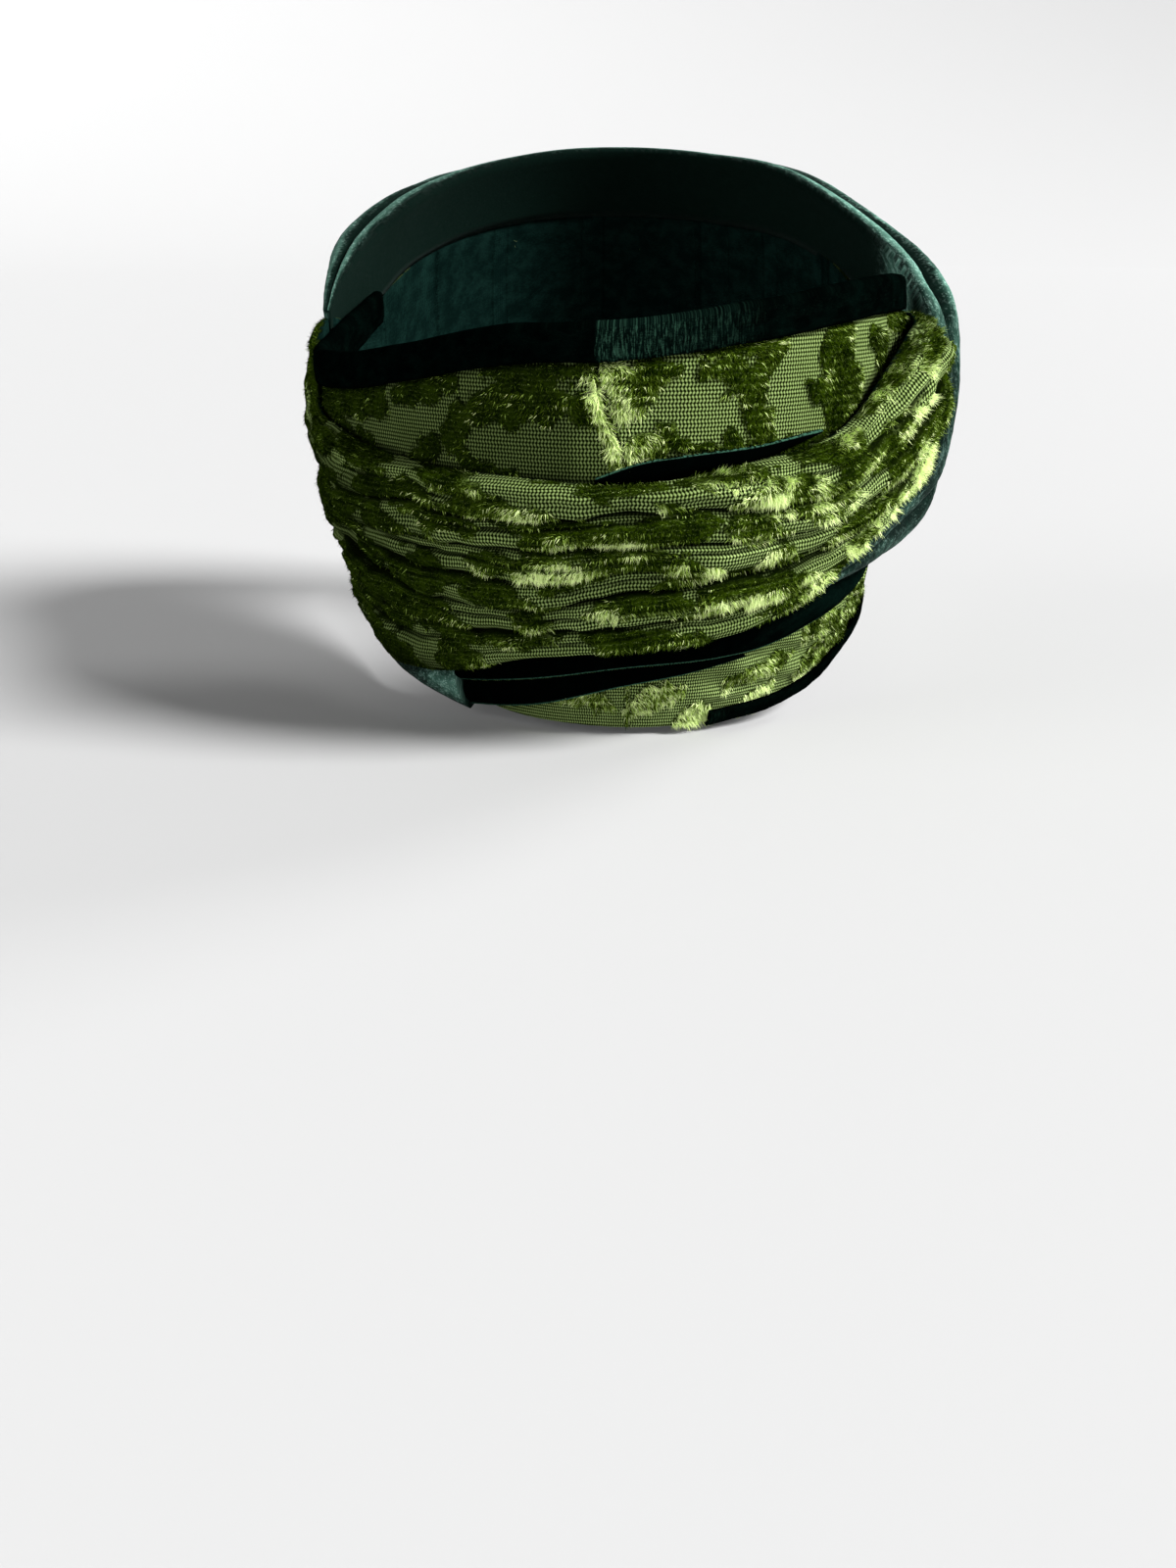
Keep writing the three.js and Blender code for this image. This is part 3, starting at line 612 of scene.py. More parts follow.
# The gathered cloth: edges, the valleys between its six pleats, and its inner face and crests
wrap = {
    "front": (-280, -122, 1.35), "back": (-122, 90, 0.48), "pleatRows": 23, "innerRows": 9,
    "lines": ["top", "a", "b", "c", "d", "e", "low"], "pitch": 23, "degree": 1.55,
    "valleyWall": 1.1, "thinnest": 0.8, "pileHeight": 0.7,
    "depthShare": (0.84, 0.3),  # of a pleat's height, and how much more at the right
    "overCrest": 0.9, "slimShoulder": 2.4, "behindRoll": 0.9,
    "rows": smoothTable("at top a b c d e low inner crest", [
        (-280, -66, -67.2, -68.4, -69.6, -70.8, -72, -74, 10.8, 14),
        (-270, -42, -47, -52, -57, -62, -68, -74, 8.6, 13.6),
        (-262, -21, -30, -38, -46, -54, -63, -72, 4, 13),
        (-245, 5, -6, -16, -27, -38, -49, -60, 1.5, 14),
        (-225, 17.6, 11, 2, -7, -17, -28, -38, 1, 14),
        (-205, 22.7, 17, 10, 2, -6, -14, -22, 1, 14),
        (-180, 25, 19.5, 13, 6, -1, -8, -15, 1, 14),
        (-150, 21.5, 15, 8, 1, -8, -17, -27, 1, 14.5),
        (-125, 10.5, 2, -8, -17, -27, -40, -54, 1.5, 15.5),
        (-108, -3, -13, -23, -31, -41, -55, -76, 5.8, 15.6),
        (-98, -6, -20, -33, -41, -49, -62, -85, 6.6, 15.8),
        (-90, -5.5, -29, -42, -48, -55, -67, -91, 10.6, 16.8),
        (-80, -25, -41, -51, -56, -61, -71.5, -95.5, 12.7, 19),
        (-66, -31, -45, -54.5, -59, -64, -75.5, -97, 9.8, 16.8),
        (-45, -35.4, -44.6, -53.8, -62, -70.5, -79.8, -94.5, 5.2, 13),
        (-22, -37, -46.4, -54.6, -62.5, -71.8, -78.2, -86.5, 3.7, 11.2),
        (0, -37.8, -44.5, -52.2, -59.6, -65.8, -74.6, -82.6, 3.6, 10.6),
        (22, -33.6, -43, -51.6, -59.4, -62.4, -71, -79, 4.4, 10.9),
        (45, -25.4, -38.6, -48.8, -55, -57.4, -63.2, -67.6, 5.8, 12.6),
        (55, -15, -31, -42.5, -50, -52.5, -57.6, -60.6, 6.2, 13.8),
        (66, -6.5, -19, -30, -40, -43.5, -49.5, -53.4, 6.8, 15.4),
        (76, -4, -9.5, -16.5, -25, -30, -38, -45.6, 7, 16.4),
        (83, -3, -6.5, -11, -17, -22, -29, -38, 6.4, 12.4),
        (90, -3, -6, -9, -13, -18, -24, -32, 5.6, 9.2),
    ]),
    # one pleat: it swells, and its lower lip hangs a little over the next one
    "pleat": smoothTable("t down rise", [
        (0, 0, 0), (0.12, 0.05, 0.36), (0.26, 0.17, 0.72),
        (0.42, 0.36, 0.93), (0.6, 0.62, 1.0), (0.76, 0.88, 0.95),
        (0.87, 1.05, 0.74), (0.94, 1.09, 0.44), (1, 1, 0),
    ]),
    "repeat": (92, 74),
    # how the lines sway: share of the room, length along, step from line to line, seed
    "sway": [(0.12, 16, 3.7, 41), (0.07, 6, 5.3, 42)],
    "lumps": [(0.22, 1.1, 50), (0.14, 2.2, 51)],
    "pileEdge": [(2.2, 5.5, 1.7, 54), (1.2, 2, 1.1, 55)],
    # creases on the pleats: pleat, share down it at either end, azimuths of the ends, depth
    "creases": [
        (0, 0.42, 0.62, -84, -8, 2.2), (0, 0.30, 0.66, -2, 62, 1.9), (0, 0.74, 0.40, 34, 86, 2.0),
        (1, 0.55, 0.34, -58, 22, 2.6), (1, 0.66, 0.38, 8, 78, 2.2), (1, 0.30, 0.60, -96, -48, 2.6),
        (2, 0.34, 0.66, -70, 4, 2.8), (2, 0.60, 0.36, -6, 46, 2.2), (2, 0.34, 0.56, 38, 84, 2.0),
        (3, 0.56, 0.44, -88, -26, 2.6), (3, 0.66, 0.30, -20, 30, 2.0), (3, 0.40, 0.60, 26, 74, 1.8),
        (4, 0.40, 0.64, -64, 10, 2.4), (4, 0.50, 0.34, 4, 66, 1.8), (4, 0.6, 0.4, -98, -60, 2.4),
        (0, 0.22, 0.5, 44, 92, 3.4), (1, 0.5, 0.3, 50, 92, 3.2), (2, 0.62, 0.3, 48, 92, 3.0),
        (3, 0.5, 0.6, 52, 92, 2.6), (5, 0.28, 0.50, -90, -30, 2.8), (5, 0.66, 0.46, -44, 14, 2.0),
        (5, 0.34, 0.60, -4, 56, 1.8),
    ],
    # places where the pile opens and catches the light, painted on as highlights: azimuth, height, reach
    # along, reach down, strength
    "glow": [
        (17, -37.5, 9, 3.5, 0.8), (26, -39.5, 6, 3.5, 0.9), (33, -38.5, 4, 3, 0.6), (40, -27, 6, 4.5, 0.9),
        (49, -21, 6, 5, 0.9), (56, -25, 8, 6, 1.0), (60, -19, 7, 5, 0.8), (65, -40, 8, 8, 0.9),
        (57, -53, 9, 6, 0.9), (47, -59, 9, 4, 0.8), (27, -46, 5, 3, 0.8), (37, -48, 8, 4.5, 1.0),
        (46, -45, 7, 4, 0.9), (24, -55, 6, 2.5, 0.8), (14, -59, 9, 3, 0.75), (19, -57, 6, 3, 0.7),
        (2, -54, 8, 2.5, 0.6), (-13, -59, 8, 2.5, 0.45), (5, -43.5, 10, 2.5, 0.6), (-17, -61, 6, 2.5, 0.4),
        (-28, -40, 5, 2, 0.35), (-4, -72, 9, 2.5, 0.45), (-15, -80, 9, 2.5, 0.4), (23, -70, 12, 3, 0.6),
        (75, -30, 4, 4, 0.45), (71, -43, 6, 5, 0.8), (80, -20, 4, 4, 0.6), (40, -66, 10, 3, 0.6),
    ],
    "strokes": [
        (8, 8, -2, 34, 24, 42, 5.2, 4), (24, 42, 46, 48, 44, 30, 4.8, 3), (44, 30, 40, 20, 32, 26, 3.8, 2),
        (14, 44, 10, 60, 26, 68, 5.4, 3), (52, 8, 66, 4, 80, 20, 5.6, 4), (56, 40, 64, 58, 82, 56, 5.6, 4),
        (26, 8, 38, 2, 46, 12, 4.4, 2), (66, 28, 72, 36, 84, 38, 4.6, 2), (40, 60, 50, 66, 54, 74, 4.4, 2),
        (84, 66, 90, 70, 96, 66, 3.8, 1),
    ],
}


def pleatLines(table, along):  # the inner lines sway a little where there is room
    names = wrap["lines"]
    lines = [table[name] for name in names]
    for k in range(1, len(names) - 1):
        line = table[names[k]]
        room = np.minimum(np.abs(line - table[names[k - 1]]), np.abs(line - table[names[k + 1]]))
        sway = 0
        for share, long, apart, seed in wrap["sway"]:
            sway = sway + share * room * noise(along / long, k * apart + 0 * along, seed)
        lines[k] = line + sway
    return np.stack(lines)


def pleatCreases(azimuth, along, pleat, t):
    creased = 0 * along
    for which, startShare, endShare, start, end, depth in wrap["creases"]:
        way = np.clip((azimuth - start) / (end - start), 0, 1)
        line = startShare + (endShare - startShare) * way + 0.05 * noise(along / 11, 0 * along + which, 53)
        near = np.exp(-np.abs(t - line) / 0.075) * (pleat == which)
        creased = creased + depth * near * np.sin(pi * way) ** 0.6
    return creased


# Fine folds along the pleats, crossing ones at the left where they crowd together, fanned ones at the right
def pleatFolds(azimuth, along, across, creased):
    fine = 1.6 * (np.abs(noise(along / 34, across / 4.6, 46)) - 0.34)
    fine = fine + 1.2 * (np.abs(noise(along / 13, across / 2.7, 47)) - 0.34)
    crowd = ramp(-azimuth, 64, 82) * (1 - ramp(-azimuth, 112, 130))
    crossing = crowd * 1.1 * noise((along + across * 0.9) / 4.2, (across - along * 0.3) / 26, 48)
    stretch = ramp(azimuth, 58, 74)
    fanned = stretch * 0.35 * np.sin(across * 2 * pi / 1.9 + 1.5 * noise(along / 12, across / 8, 49))
    return fine * (1 - 0.6 * stretch) - creased + crossing + fanned


def pleatPileField(azimuth, along, across, pleat):
    field = strokeField(along * 0.85 + pleat * 31, across * 1.7, wrap["strokes"], wrap["repeat"])
    field = field + 1.9 + 1.6 * ramp(-azimuth, 28, 60)
    for high, long, wide, seed in wrap["pileEdge"]:
        field = field + high * noise(along / long, across / wide, seed)
    return field


def pleatGlow(azimuth, z):
    glow = 0 * z
    for turn, height, reach, drop, strength in wrap["glow"]:
        away = ((azimuth - turn) * wrap["degree"] / reach) ** 2 + ((z - height) / drop) ** 2
        glow = np.maximum(glow, strength * np.exp(-away))
    return glow


# Painted light where the pile opens: along the lower lips, at the glowing spots, on the front and where the
# cloth turns to the right side, less on the left
def pleatLit(azimuth, along, across, t, glow, left, front):
    lip = ramp(t, 0.5, 0.86) * (1 - ramp(t, 0.93, 1))
    spots = noise(along / 9, across / 6, 52)
    flecks = noise(along / 3.4, across / 1.9, 56)
    paintedLight = 0.13 + 0.34 * lip * (0.5 + 0.5 * spots) * (1 - left) + glow * (0.68 + 0.8 * flecks) + 0.16 * spots
    paintedLight = paintedLight - 0.17 * left + front * (0.3 * lip + 0.25 * spots) + 0.16 * flecks * ramp(azimuth, 34, 56)
    return np.clip(paintedLight, 0, 1.2)


# Painted shade at the foot of a pleat, under the lip above it, in its creases and more on the left
def pleatShade(pleat, t, height, down, creased, left):
    fromUpper, fromLower = down * height, (1 - t) * height
    dark = np.minimum(1, height / 9)
    shadowed = (2.7 + 0.9 * left) * dark
    deep = np.maximum(1 - ramp(fromUpper, 0.8 * dark, shadowed), 1 - ramp(fromLower, 0.2, 1.1))
    deep = np.maximum(deep, ramp(creased, 0.8, 2.0))
    deep = np.maximum(deep, 0.6 * left * (0.5 + 0.95 * ramp(t, 0.4, 0.85)))
    return np.where((pleat == 0) & (t < 0.5), 0, np.clip(deep, 0, 1)) * 0.95


def gatheredWrap():
    azimuths = azimuthSteps(wrap["front"], wrap["back"])
    pleats, perPleat = len(wrap["lines"]) - 1, wrap["pleatRows"]
    outerRows = pleats * perPleat

    def section(azimuth, outer, inner, isInner):
        row = np.rint(outer * outerRows).astype(int)
        pleat = np.minimum(row // perPleat, pleats - 1)
        t = (row - pleat * perPleat) / perPleat
        table = wrap["rows"](azimuth)
        along = lengthAlong(azimuth)
        lines = pleatLines(table, along)
        upper = np.take_along_axis(lines, pleat[None], 0)[0]
        lower = np.take_along_axis(lines, pleat[None] + 1, 0)[0]
        height = upper - lower
        # how far a pleat stands off, and its section
        valley = table["inner"] + wrap["valleyWall"]
        swell = 1.04 + 0.22 * noise(along / 20, pleat * 4.1, 43) + 0.1 * noise(along / 7, pleat * 6.7, 44)
        share, more = wrap["depthShare"]
        share = share + more * ramp(azimuth, 42, 60)
        slim = wrap["slimShoulder"] * ramp(-azimuth, 58, 76) * (1 - ramp(-azimuth, 112, 130))
        rise = np.minimum(table["crest"] + wrap["overCrest"] - slim - valley, height * share) * swell
        shape = wrap["pleat"](t)
        skew = 0.06 * np.sin(pi * t) * noise(along / 15, pleat * 9.1, 45)
        z = upper - height * (shape["down"] + skew)
        thinTop, thinLow = 1 - ramp(t, 0, 0.3), ramp(t, 0.8, 1)
        thin = np.where(pleat == 0, thinTop, np.where(pleat == pleats - 1, thinLow, 0))
        across = pleat * wrap["pitch"] + (t - 0.5) * np.maximum(height, rise) * 1.5
        body = np.sin(pi * t) ** 0.7
        creased = pleatCreases(azimuth, along, pleat, t)
        folds = pleatFolds(azimuth, along, across, creased) * body * np.minimum(1, height / 7)
        field = pleatPileField(azimuth, along, across, pleat)
        pileHeight = wrap["pileHeight"] + lumps(along, across, wrap["lumps"])
        offset = valley - thin * 0.4 + rise * shape["rise"] + folds
        offset = offset + ramp(field, -0.3, 0.9) * pileHeight * body
        z = np.where(isInner, lines[0] - 0.4 + (lines[-1] - lines[0] + 0.8) * inner, z)
        # the far end is tucked in under the roll
        farEnd = 1 - ramp(azimuth, -279, -266)
        offset = offset - 4.5 * farEnd
        z = z + 3.0 * farEnd
        innerFace = table["inner"] + wrap["behindRoll"] * (1 - ramp(azimuth, -135, -115))
        offset = np.where(isInner, innerFace, np.maximum(offset, innerFace + wrap["thinnest"]))
        across = np.where(isInner, -60 * (1 - inner), across)
        # painted light is stronger on the front and weaker on the left, where painted shade is added
        front = 1 - ramp(azimuth, -150, -120)
        left = ramp(-azimuth, 20, 62) * (1 - front)
        glow = pleatGlow(azimuth, z)
        deep = pleatShade(pleat, t, height, shape["down"], creased, left)
        return azimuth, z, offset, {"cloth": clothPlace(along, across), "pile": field + 2.2 * glow,
                                    "paintedLight": pleatLit(azimuth, along, across, t, glow, left, front),
                                    "deep": np.where(isInner, 0, deep)}

    return clothBody("gatheredWrap", azimuths, outerRows, wrap["innerRows"], section)


# The velvet roll: two ridges with a deep fold between them, and the stretches that it runs over
roll = {
    "side": (32, 125, 0.45), "front": (125, 269, 0.8), "outerRows": 58, "innerRows": 8,
    "rows": smoothTable("at top low inner crest", [
        (32, -76.2, -77.6, 7, 8.4), (45, -68.2, -71.6, 7, 9.8), (60, -58.2, -70, 7.4, 12),
        (68, -52.8, -69.4, 8.2, 13.8), (75, -47, -68, 9.6, 17.6), (82, -38, -60, 14, 22.4),
        (90, -5, -41, 11, 24.4), (98, 8.4, -20, 9, 22.4),
        (106, 17, -5, 6.6, 19.4), (116, 26.5, 7, 3.4, 16.4),
        (130, 36, 16.6, 1.4, 16), (155, 42, 23.4, 1, 15.4),
        (180, 44, 25.6, 1, 15.4), (205, 42, 23.6, 1, 15.4),
        (230, 34.4, 15.4, 1.4, 15.8), (243, 27, 7.4, 2.6, 17), (251, 19, -1.4, 5.2, 17),
        (258, 11.5, -4.4, 7, 14.2), (264, 4.0, -4.8, 8.6, 12.6), (269, -2.8, -6.0, 9.6, 11.4),
    ]),
    "shape": smoothTable("t down rise", [
        (0, 0, 0.18), (0.06, -0.01, 0.42), (0.13, 0.05, 0.74),
        (0.24, 0.17, 0.97), (0.33, 0.28, 1), (0.43, 0.4, 0.86),
        (0.5, 0.475, 0.56), (0.56, 0.5, 0.56), (0.64, 0.58, 0.86), (0.75, 0.72, 0.97), (0.86, 0.86, 0.84),
        (0.95, 0.97, 0.5), (1, 1, 0.14),
    ]),
    # where it rises at the side, a narrow inner ridge lies above a deep fold
    "risingShape": smoothTable("t down rise", [
        (0, 0, 0.10), (0.05, -0.02, 0.26), (0.10, -0.02, 0.38), (0.15, 0.02, 0.42), (0.20, 0.08, 0.34),
        (0.24, 0.11, 0.30), (0.28, 0.06, 0.52), (0.33, 0.03, 0.84), (0.40, 0.12, 1.0), (0.52, 0.34, 1.04),
        (0.66, 0.62, 0.98), (0.82, 0.86, 0.8), (0.93, 0.98, 0.5), (1, 1, 0.16),
    ]),
}


def velvetRoll():
    azimuths = azimuthSteps(roll["side"], roll["front"])
    ends = roll["rows"](azimuths)
    middle = headPoint(azimuths, (ends["top"] + ends["low"]) / 2, ends["inner"]) * 1000
    steps = np.linalg.norm(np.diff(middle, axis=0), axis=1)
    risen = np.concatenate([[0], np.cumsum(steps)])

    def section(azimuth, outer, inner, isInner):
        table = roll["rows"](azimuth)
        rising = ramp(azimuth, 84, 97)
        shape, side = roll["shape"](outer), roll["risingShape"](outer)
        shape = {key: shape[key] + (side[key] - shape[key]) * rising for key in shape}
        along = np.interp(azimuth, azimuths, risen)
        height = table["top"] - table["low"]
        rise = table["crest"] - table["inner"]
        foldShift = 0.04 * noise(along / 30, 0 * along, 61) * np.sin(pi * outer)
        z = table["top"] - height * (shape["down"] + foldShift)
        ripple = 0.9 * noise(along / 24, outer * 5, 62) + 0.35 * noise(along / 8, outer * 9, 63)
        grain = 0.12 * noise(along * 1.1, outer * height * 2, 64)
        size = np.minimum(1, rise / 9)
        offset = table["inner"] + rise * shape["rise"] + (ripple * size + grain) * np.sin(pi * outer) ** 0.5
        tucked = 2.6 * ramp(azimuth, 100, 125)
        z = np.where(isInner, table["top"] - height * 0.06 - (height * 0.94 + tucked) * inner, z)
        offset = np.where(isInner, table["inner"], offset)
        across = np.where(isInner, -(1 - inner) * height, outer * (height + 1.2 * rise))
        # painted highlights along the ridges, brighter higher up, and on the inner ridge and turned-out
        # face where it rises
        ridge = ramp(shape["rise"], 0.6, 0.95)
        paintedLight = ridge * (0.62 + 0.38 * noise(along / 12, outer * 5, 65)) * (0.32 + 0.68 * ramp(z, -34, -2))
        paintedLight = np.maximum(paintedLight, 0.9 * np.exp(-((outer - 0.1) / 0.07) ** 2) * rising)
        turnedOut = rising * (1 - ramp(azimuth, 99, 110))
        paintedLight = np.where(isInner, 0.55 * turnedOut, paintedLight)
        mottled = 0.55 + 0.45 * noise(along / 7, outer * 9, 66)
        # painted shade in the fold between the ridges, darker lower down, and on the front
        deep = np.exp(-((outer - 0.24) / 0.035) ** 2) * rising * ~isInner
        deep = deep + 0.62 * mottled * (1 - ramp(z, -46, -10))
        deep = np.where(azimuth > 128, 0.45, deep).clip(0, 1)
        return azimuth, z, offset, {"cloth": clothPlace(along, across), "paintedLight": paintedLight, "deep": deep,
                                    "reverse": isInner * (1 - turnedOut)}

    return clothBody("velvetRoll", azimuths, roll["outerRows"], roll["innerRows"], section)


# Velvet strips that turn out from under the pleats. Their rows are edges, inner and outer face, their rims
# the painted highlight on the upper and lower edge, and their lit values where painted light makes the face
# bright and dull again.
strips = {
    "wrapTopBorder": {
        "step": 0.4, "rims": (0.75, 0), "paintedLight": ((90, 95), (96, 99)),
        "rows": [
            (-6, -36.4, -38.2, 3.6, 5.4), (2, -32.6, -38, 3.6, 6), (10, -31.0, -36.4, 3.6, 6.2),
            (24, -29.4, -33.4, 3.6, 6), (34, -27.6, -29.6, 3.8, 5.8), (38, -27.2, -28.2, 3.8, 5.4),
        ],
    },
    "borderStripUpper": {
        "step": 0.4, "rims": (0.6, 0.9), "paintedLight": ((10, 60), (90, 99)),
        "rows": [
            (-46, -95.2, -100, 4.6, 8.4), (-22, -87.4, -94.6, 3.6, 7), (0, -83.5, -89.6, 3.6, 6.6),
            (22, -80.2, -88, 4.4, 7.2), (32, -78.2, -86.8, 5, 7.8), (45, -72.2, -83, 6.2, 9),
            (60, -69.8, -77.6, 7.6, 10.2), (72, -68.2, -70.2, 8.4, 9.6),
        ],
    },
    "borderStripLower": {
        "step": 0.4, "rims": (0.3, 0.9), "paintedLight": ((10, 60), (90, 99)),
        "rows": [
            (-46, -100.4, -108, 4, 7.2), (-22, -95, -103, 3.6, 6), (0, -90, -95.6, 3.6, 5.8),
            (16, -88.8, -92.2, 4, 6), (29, -87.9, -88.9, 4.8, 6.4),
        ],
    },
    "lowerBorder": {
        "step": 0.6, "rims": (0, 0.2), "paintedLight": ((-72, -42), (0, 10)),
        "rows": [
            (-277, -72.6, -73.6, 9.0, 9.8), (-271, -73.2, -78.6, 8.2, 11.2), (-262, -72.2, -80, 5.4, 10.4),
            (-245, -59.1, -67.4, 1.5, 8.4), (-225, -37.0, -45.4, 1, 8), (-205, -20.9, -29, 1, 8),
            (-180, -13.9, -21.6, 1, 8), (-150, -25.9, -34, 1, 8.4), (-125, -53.0, -62, 1.5, 9.4),
            (-108, -76.4, -84, 6, 12), (-90, -92, -98.6, 9, 15), (-75, -97.4, -103, 9, 15),
            (-60, -97.2, -106.4, 7, 12.8), (-46.6, -95.4, -109.6, 4.4, 8.8),
        ],
    },
}
stripRows = (20, 5)  # down the outer face and up the inner one
rimWidth = (0.25, 0.75)


def velvetStrip(name):
    strip = strips[name]
    read = smoothTable("at top low inner outer", strip["rows"])
    azimuths = azimuthSteps((strip["rows"][0][0], strip["rows"][-1][0], strip["step"]))
    (rimTop, rimLow), (brighter, duller) = strip["rims"], strip["paintedLight"]

    def section(azimuth, outer, inner, isInner):
        table = read(azimuth)
        along = lengthAlong(azimuth)
        height, thick = table["top"] - table["low"], table["outer"] - table["inner"]
        crown = np.sin(pi * (0.06 + 0.88 * outer)) ** 0.45
        z = table["top"] - height * np.where(isInner, 0.08 + 0.84 * inner, outer)
        wave = 0.25 * noise(along / 12, outer * 3, 71) + 0.1 * noise(along / 3, outer * 6, 72)
        offset = np.where(isInner, table["inner"], table["inner"] + thick * crown + wave * crown)
        # painted highlights on the edges, and painted light across the crown of the face
        atTop = rimTop * (1 - ramp(outer * height, *rimWidth))
        atLow = rimLow * (1 - ramp((1 - outer) * height, *rimWidth))
        paintedLight = ramp(azimuth, *brighter) * (1 - ramp(azimuth, *duller)) * (0.2 + 0.5 * crown ** 3)
        rim = np.maximum(atTop, atLow) * (1 - isInner)
        return azimuth, z, offset, {"cloth": clothPlace(along, outer * height), "rim": rim, "paintedLight": paintedLight}

    return clothBody(name, azimuths, *stripRows, section)


# Pile fibres: thin closed spikes that lean down the cloth, in shaded and lit tones, paler with painted
# light where the pile opens
fibre = {
    "width": 0.28, "flatness": 0.6, "rootDepth": 0.0002,
    "length": (1.0, 1.5),  # shortest, and how much longer the longest is
    "swirl": (6, 4.5), "swirlTurn": 60, "spread": 20,
    # dark to pale tones of one fibre colour, for painted shade and painted light
    "tones": [(0.003, 0.008, 0.0003), (0.022, 0.042, 0.0015), (0.075, 0.120, 0.008), (0.30, 0.45, 0.07),
              (0.80, 0.95, 0.40)],
    "gloss": [0.0, 0.0, 0.05, 0.25, 0.35], "toneSteps": [0.20, 0.38, 0.52, 0.66],
    "rowPitch": 2.4, "rowLight": 0.24, "frontFrom": -122, "frontShare": 0.22,
}


def fibreTone(index):
    f = Finish("pileFibre" + str(index))
    return f.surface({"Base Color": (*fibre["tones"][index], 1), "Roughness": 0.5,
                      "Specular IOR Level": fibre["gloss"][index]})


fibreTones = [fibreTone(index) for index in range(len(fibre["tones"]))]


def unit(vectors):
    return vectors / np.maximum(np.linalg.norm(vectors, axis=-1, keepdims=True), 1e-12)


# The cells of a body's grid from one azimuth to another, and how thickly fibres grow in each
def pileCells(body, first, last):
    turned, points, values = clothGrids[body]
    root = points[:-1, :-1]
    du = points[1:, :-1] - root
    dv = points[:-1, 1:] - root
    normal = np.cross(du, dv)
    area = np.linalg.norm(normal, axis=-1)
    cell = {key: value[:-1, :-1] for key, value in values.items()}
    outward = np.sign(np.sum(normal[..., :2] * root[..., :2] * (cell["reverse"][..., None] < 0.5)))
    inside = values["reverse"] > 0.5
    turned = turned[:-1, :-1]
    hidden = inside[:-1, :-1] | inside[:-1, 1:] | (turned < first) | (turned > last)
    if body.startswith("band"):
        bareTop, bareLow = band["bare"]
        hidden |= (root[..., 2] < bareTop * 0.001) & (root[..., 2] > bareLow * 0.001)
    dense = ramp(cell["pile"], -0.4, 0.5) * (1 - 0.97 * cell["deep"]) ** 2
    dense = dense * (0.6 + 0.6 * cell["paintedLight"].clip(0, 1))
    dense = dense * np.where(turned < fibre["frontFrom"], fibre["frontShare"], 1)
    return {"weight": area * dense * ~hidden, "root": root, "du": du, "dv": dv,
            "normal": unit(normal) * outward, "cloth": cell["cloth"],
            "pile": cell["pile"], "paintedLight": cell["paintedLight"]}


def spikeMesh(name, count):  # as many spikes as fibres, all in one place
    bm = bmesh.new()
    bmesh.ops.create_cone(bm, cap_ends=True, segments=3, radius1=1, radius2=0, depth=1)
    spike = bpy.data.meshes.new(name)
    bm.to_mesh(spike)
    bm.free()
    piece = addObject(name, spike)
    copies = piece.modifiers.new("copies", "ARRAY")
    copies.count = count
    copies.relative_offset_displace = (0, 0, 0)
    drawn = piece.evaluated_get(bpy.context.evaluated_depsgraph_get())
    mesh = bpy.data.meshes.new_from_object(drawn)
    piece.modifiers.clear()
    piece.data = mesh
    return piece


def pileFibres(name, bodies, count, first, last, seed):
    rng = np.random.default_rng(seed)
    parts = [pileCells(body, first, last) for body in bodies]
    weights = np.concatenate([part["weight"].ravel() for part in parts])
    chosen = rng.choice(len(weights), count, p=weights / weights.sum())

    def pick(key):
        return np.concatenate([part[key].reshape(part["weight"].size, -1) for part in parts])[chosen]

    root, du, dv, normal, cloth = (pick(key) for key in ("root", "du", "dv", "normal", "cloth"))
    field, paintedLight = pick("pile")[:, 0], pick("paintedLight")[:, 0]
    openAndLit = paintedLight.clip(0, 1)
    root = root + du * rng.random((count, 1)) + dv * rng.random((count, 1))
    sideways = unit(du)
    down = unit(dv - sideways * np.sum(dv * sideways, axis=1, keepdims=True))
    swirlLong, swirlWide = fibre["swirl"]
    swirl = noise(cloth[:, 0] / swirlLong, cloth[:, 1] / swirlWide, seed + 1)
    turn = np.radians(90 + fibre["swirlTurn"] * swirl + rng.normal(0, fibre["spread"], count))[:, None]
    up = (0.22 + 0.3 * rng.random(count) + 0.15 * openAndLit)[:, None]
    way = unit(normal * up + (np.cos(turn) * sideways + np.sin(turn) * down) * (1 - up))
    side = unit(np.cross(way, normal))
    third = np.cross(way, side)
    shortest, longer = fibre["length"]
    length = (shortest + longer * rng.random(count) ** 1.5) * (0.7 + 0.8 * openAndLit) * 0.001
    width = fibre["width"] * (0.7 + 0.5 * rng.random(count)) * 0.0005

    piece = spikeMesh(name, count)
    mesh = piece.data
    local = np.zeros(len(mesh.vertices) * 3, np.float32)
    mesh.vertices.foreach_get("co", local)
    local = local.reshape(-1, 4, 3)
    spikes = (root - normal * fibre["rootDepth"])[:, None, :]
    spikes = spikes + local[..., 0:1] * (side * width[:, None])[:, None, :]
    spikes = spikes + local[..., 1:2] * (third * width[:, None] * fibre["flatness"])[:, None, :]
    spikes = spikes + (local[..., 2:3] + 0.5) * (way * length[:, None])[:, None, :]
    mesh.vertices.foreach_set("co", spikes.astype(np.float32).ravel())
    # each fibre's tone is painted light: from the lit value, at the pile's edge, in sparkling rows, and at
    # random
    atEdge = 0.16 * (1 - ramp(field, 0.4, 2.4))
    inRow = fibre["rowLight"] * (np.cos(cloth[:, 1] * 2 * pi / fibre["rowPitch"]) > 0.7)
    shine = paintedLight * 0.95 + inRow + 0.16 * swirl + atEdge * (0.4 + paintedLight) + 0.5 * (rng.random(count) - 0.42)
    tone = np.searchsorted(fibre["toneSteps"], shine)
    for material in fibreTones:
        mesh.materials.append(material)
    mesh.polygons.foreach_set("material_index", np.repeat(tone, 4).astype(np.int32))
    mesh.update()
    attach(piece, "root")
    print("made", name, count, "fibres")
    return piece


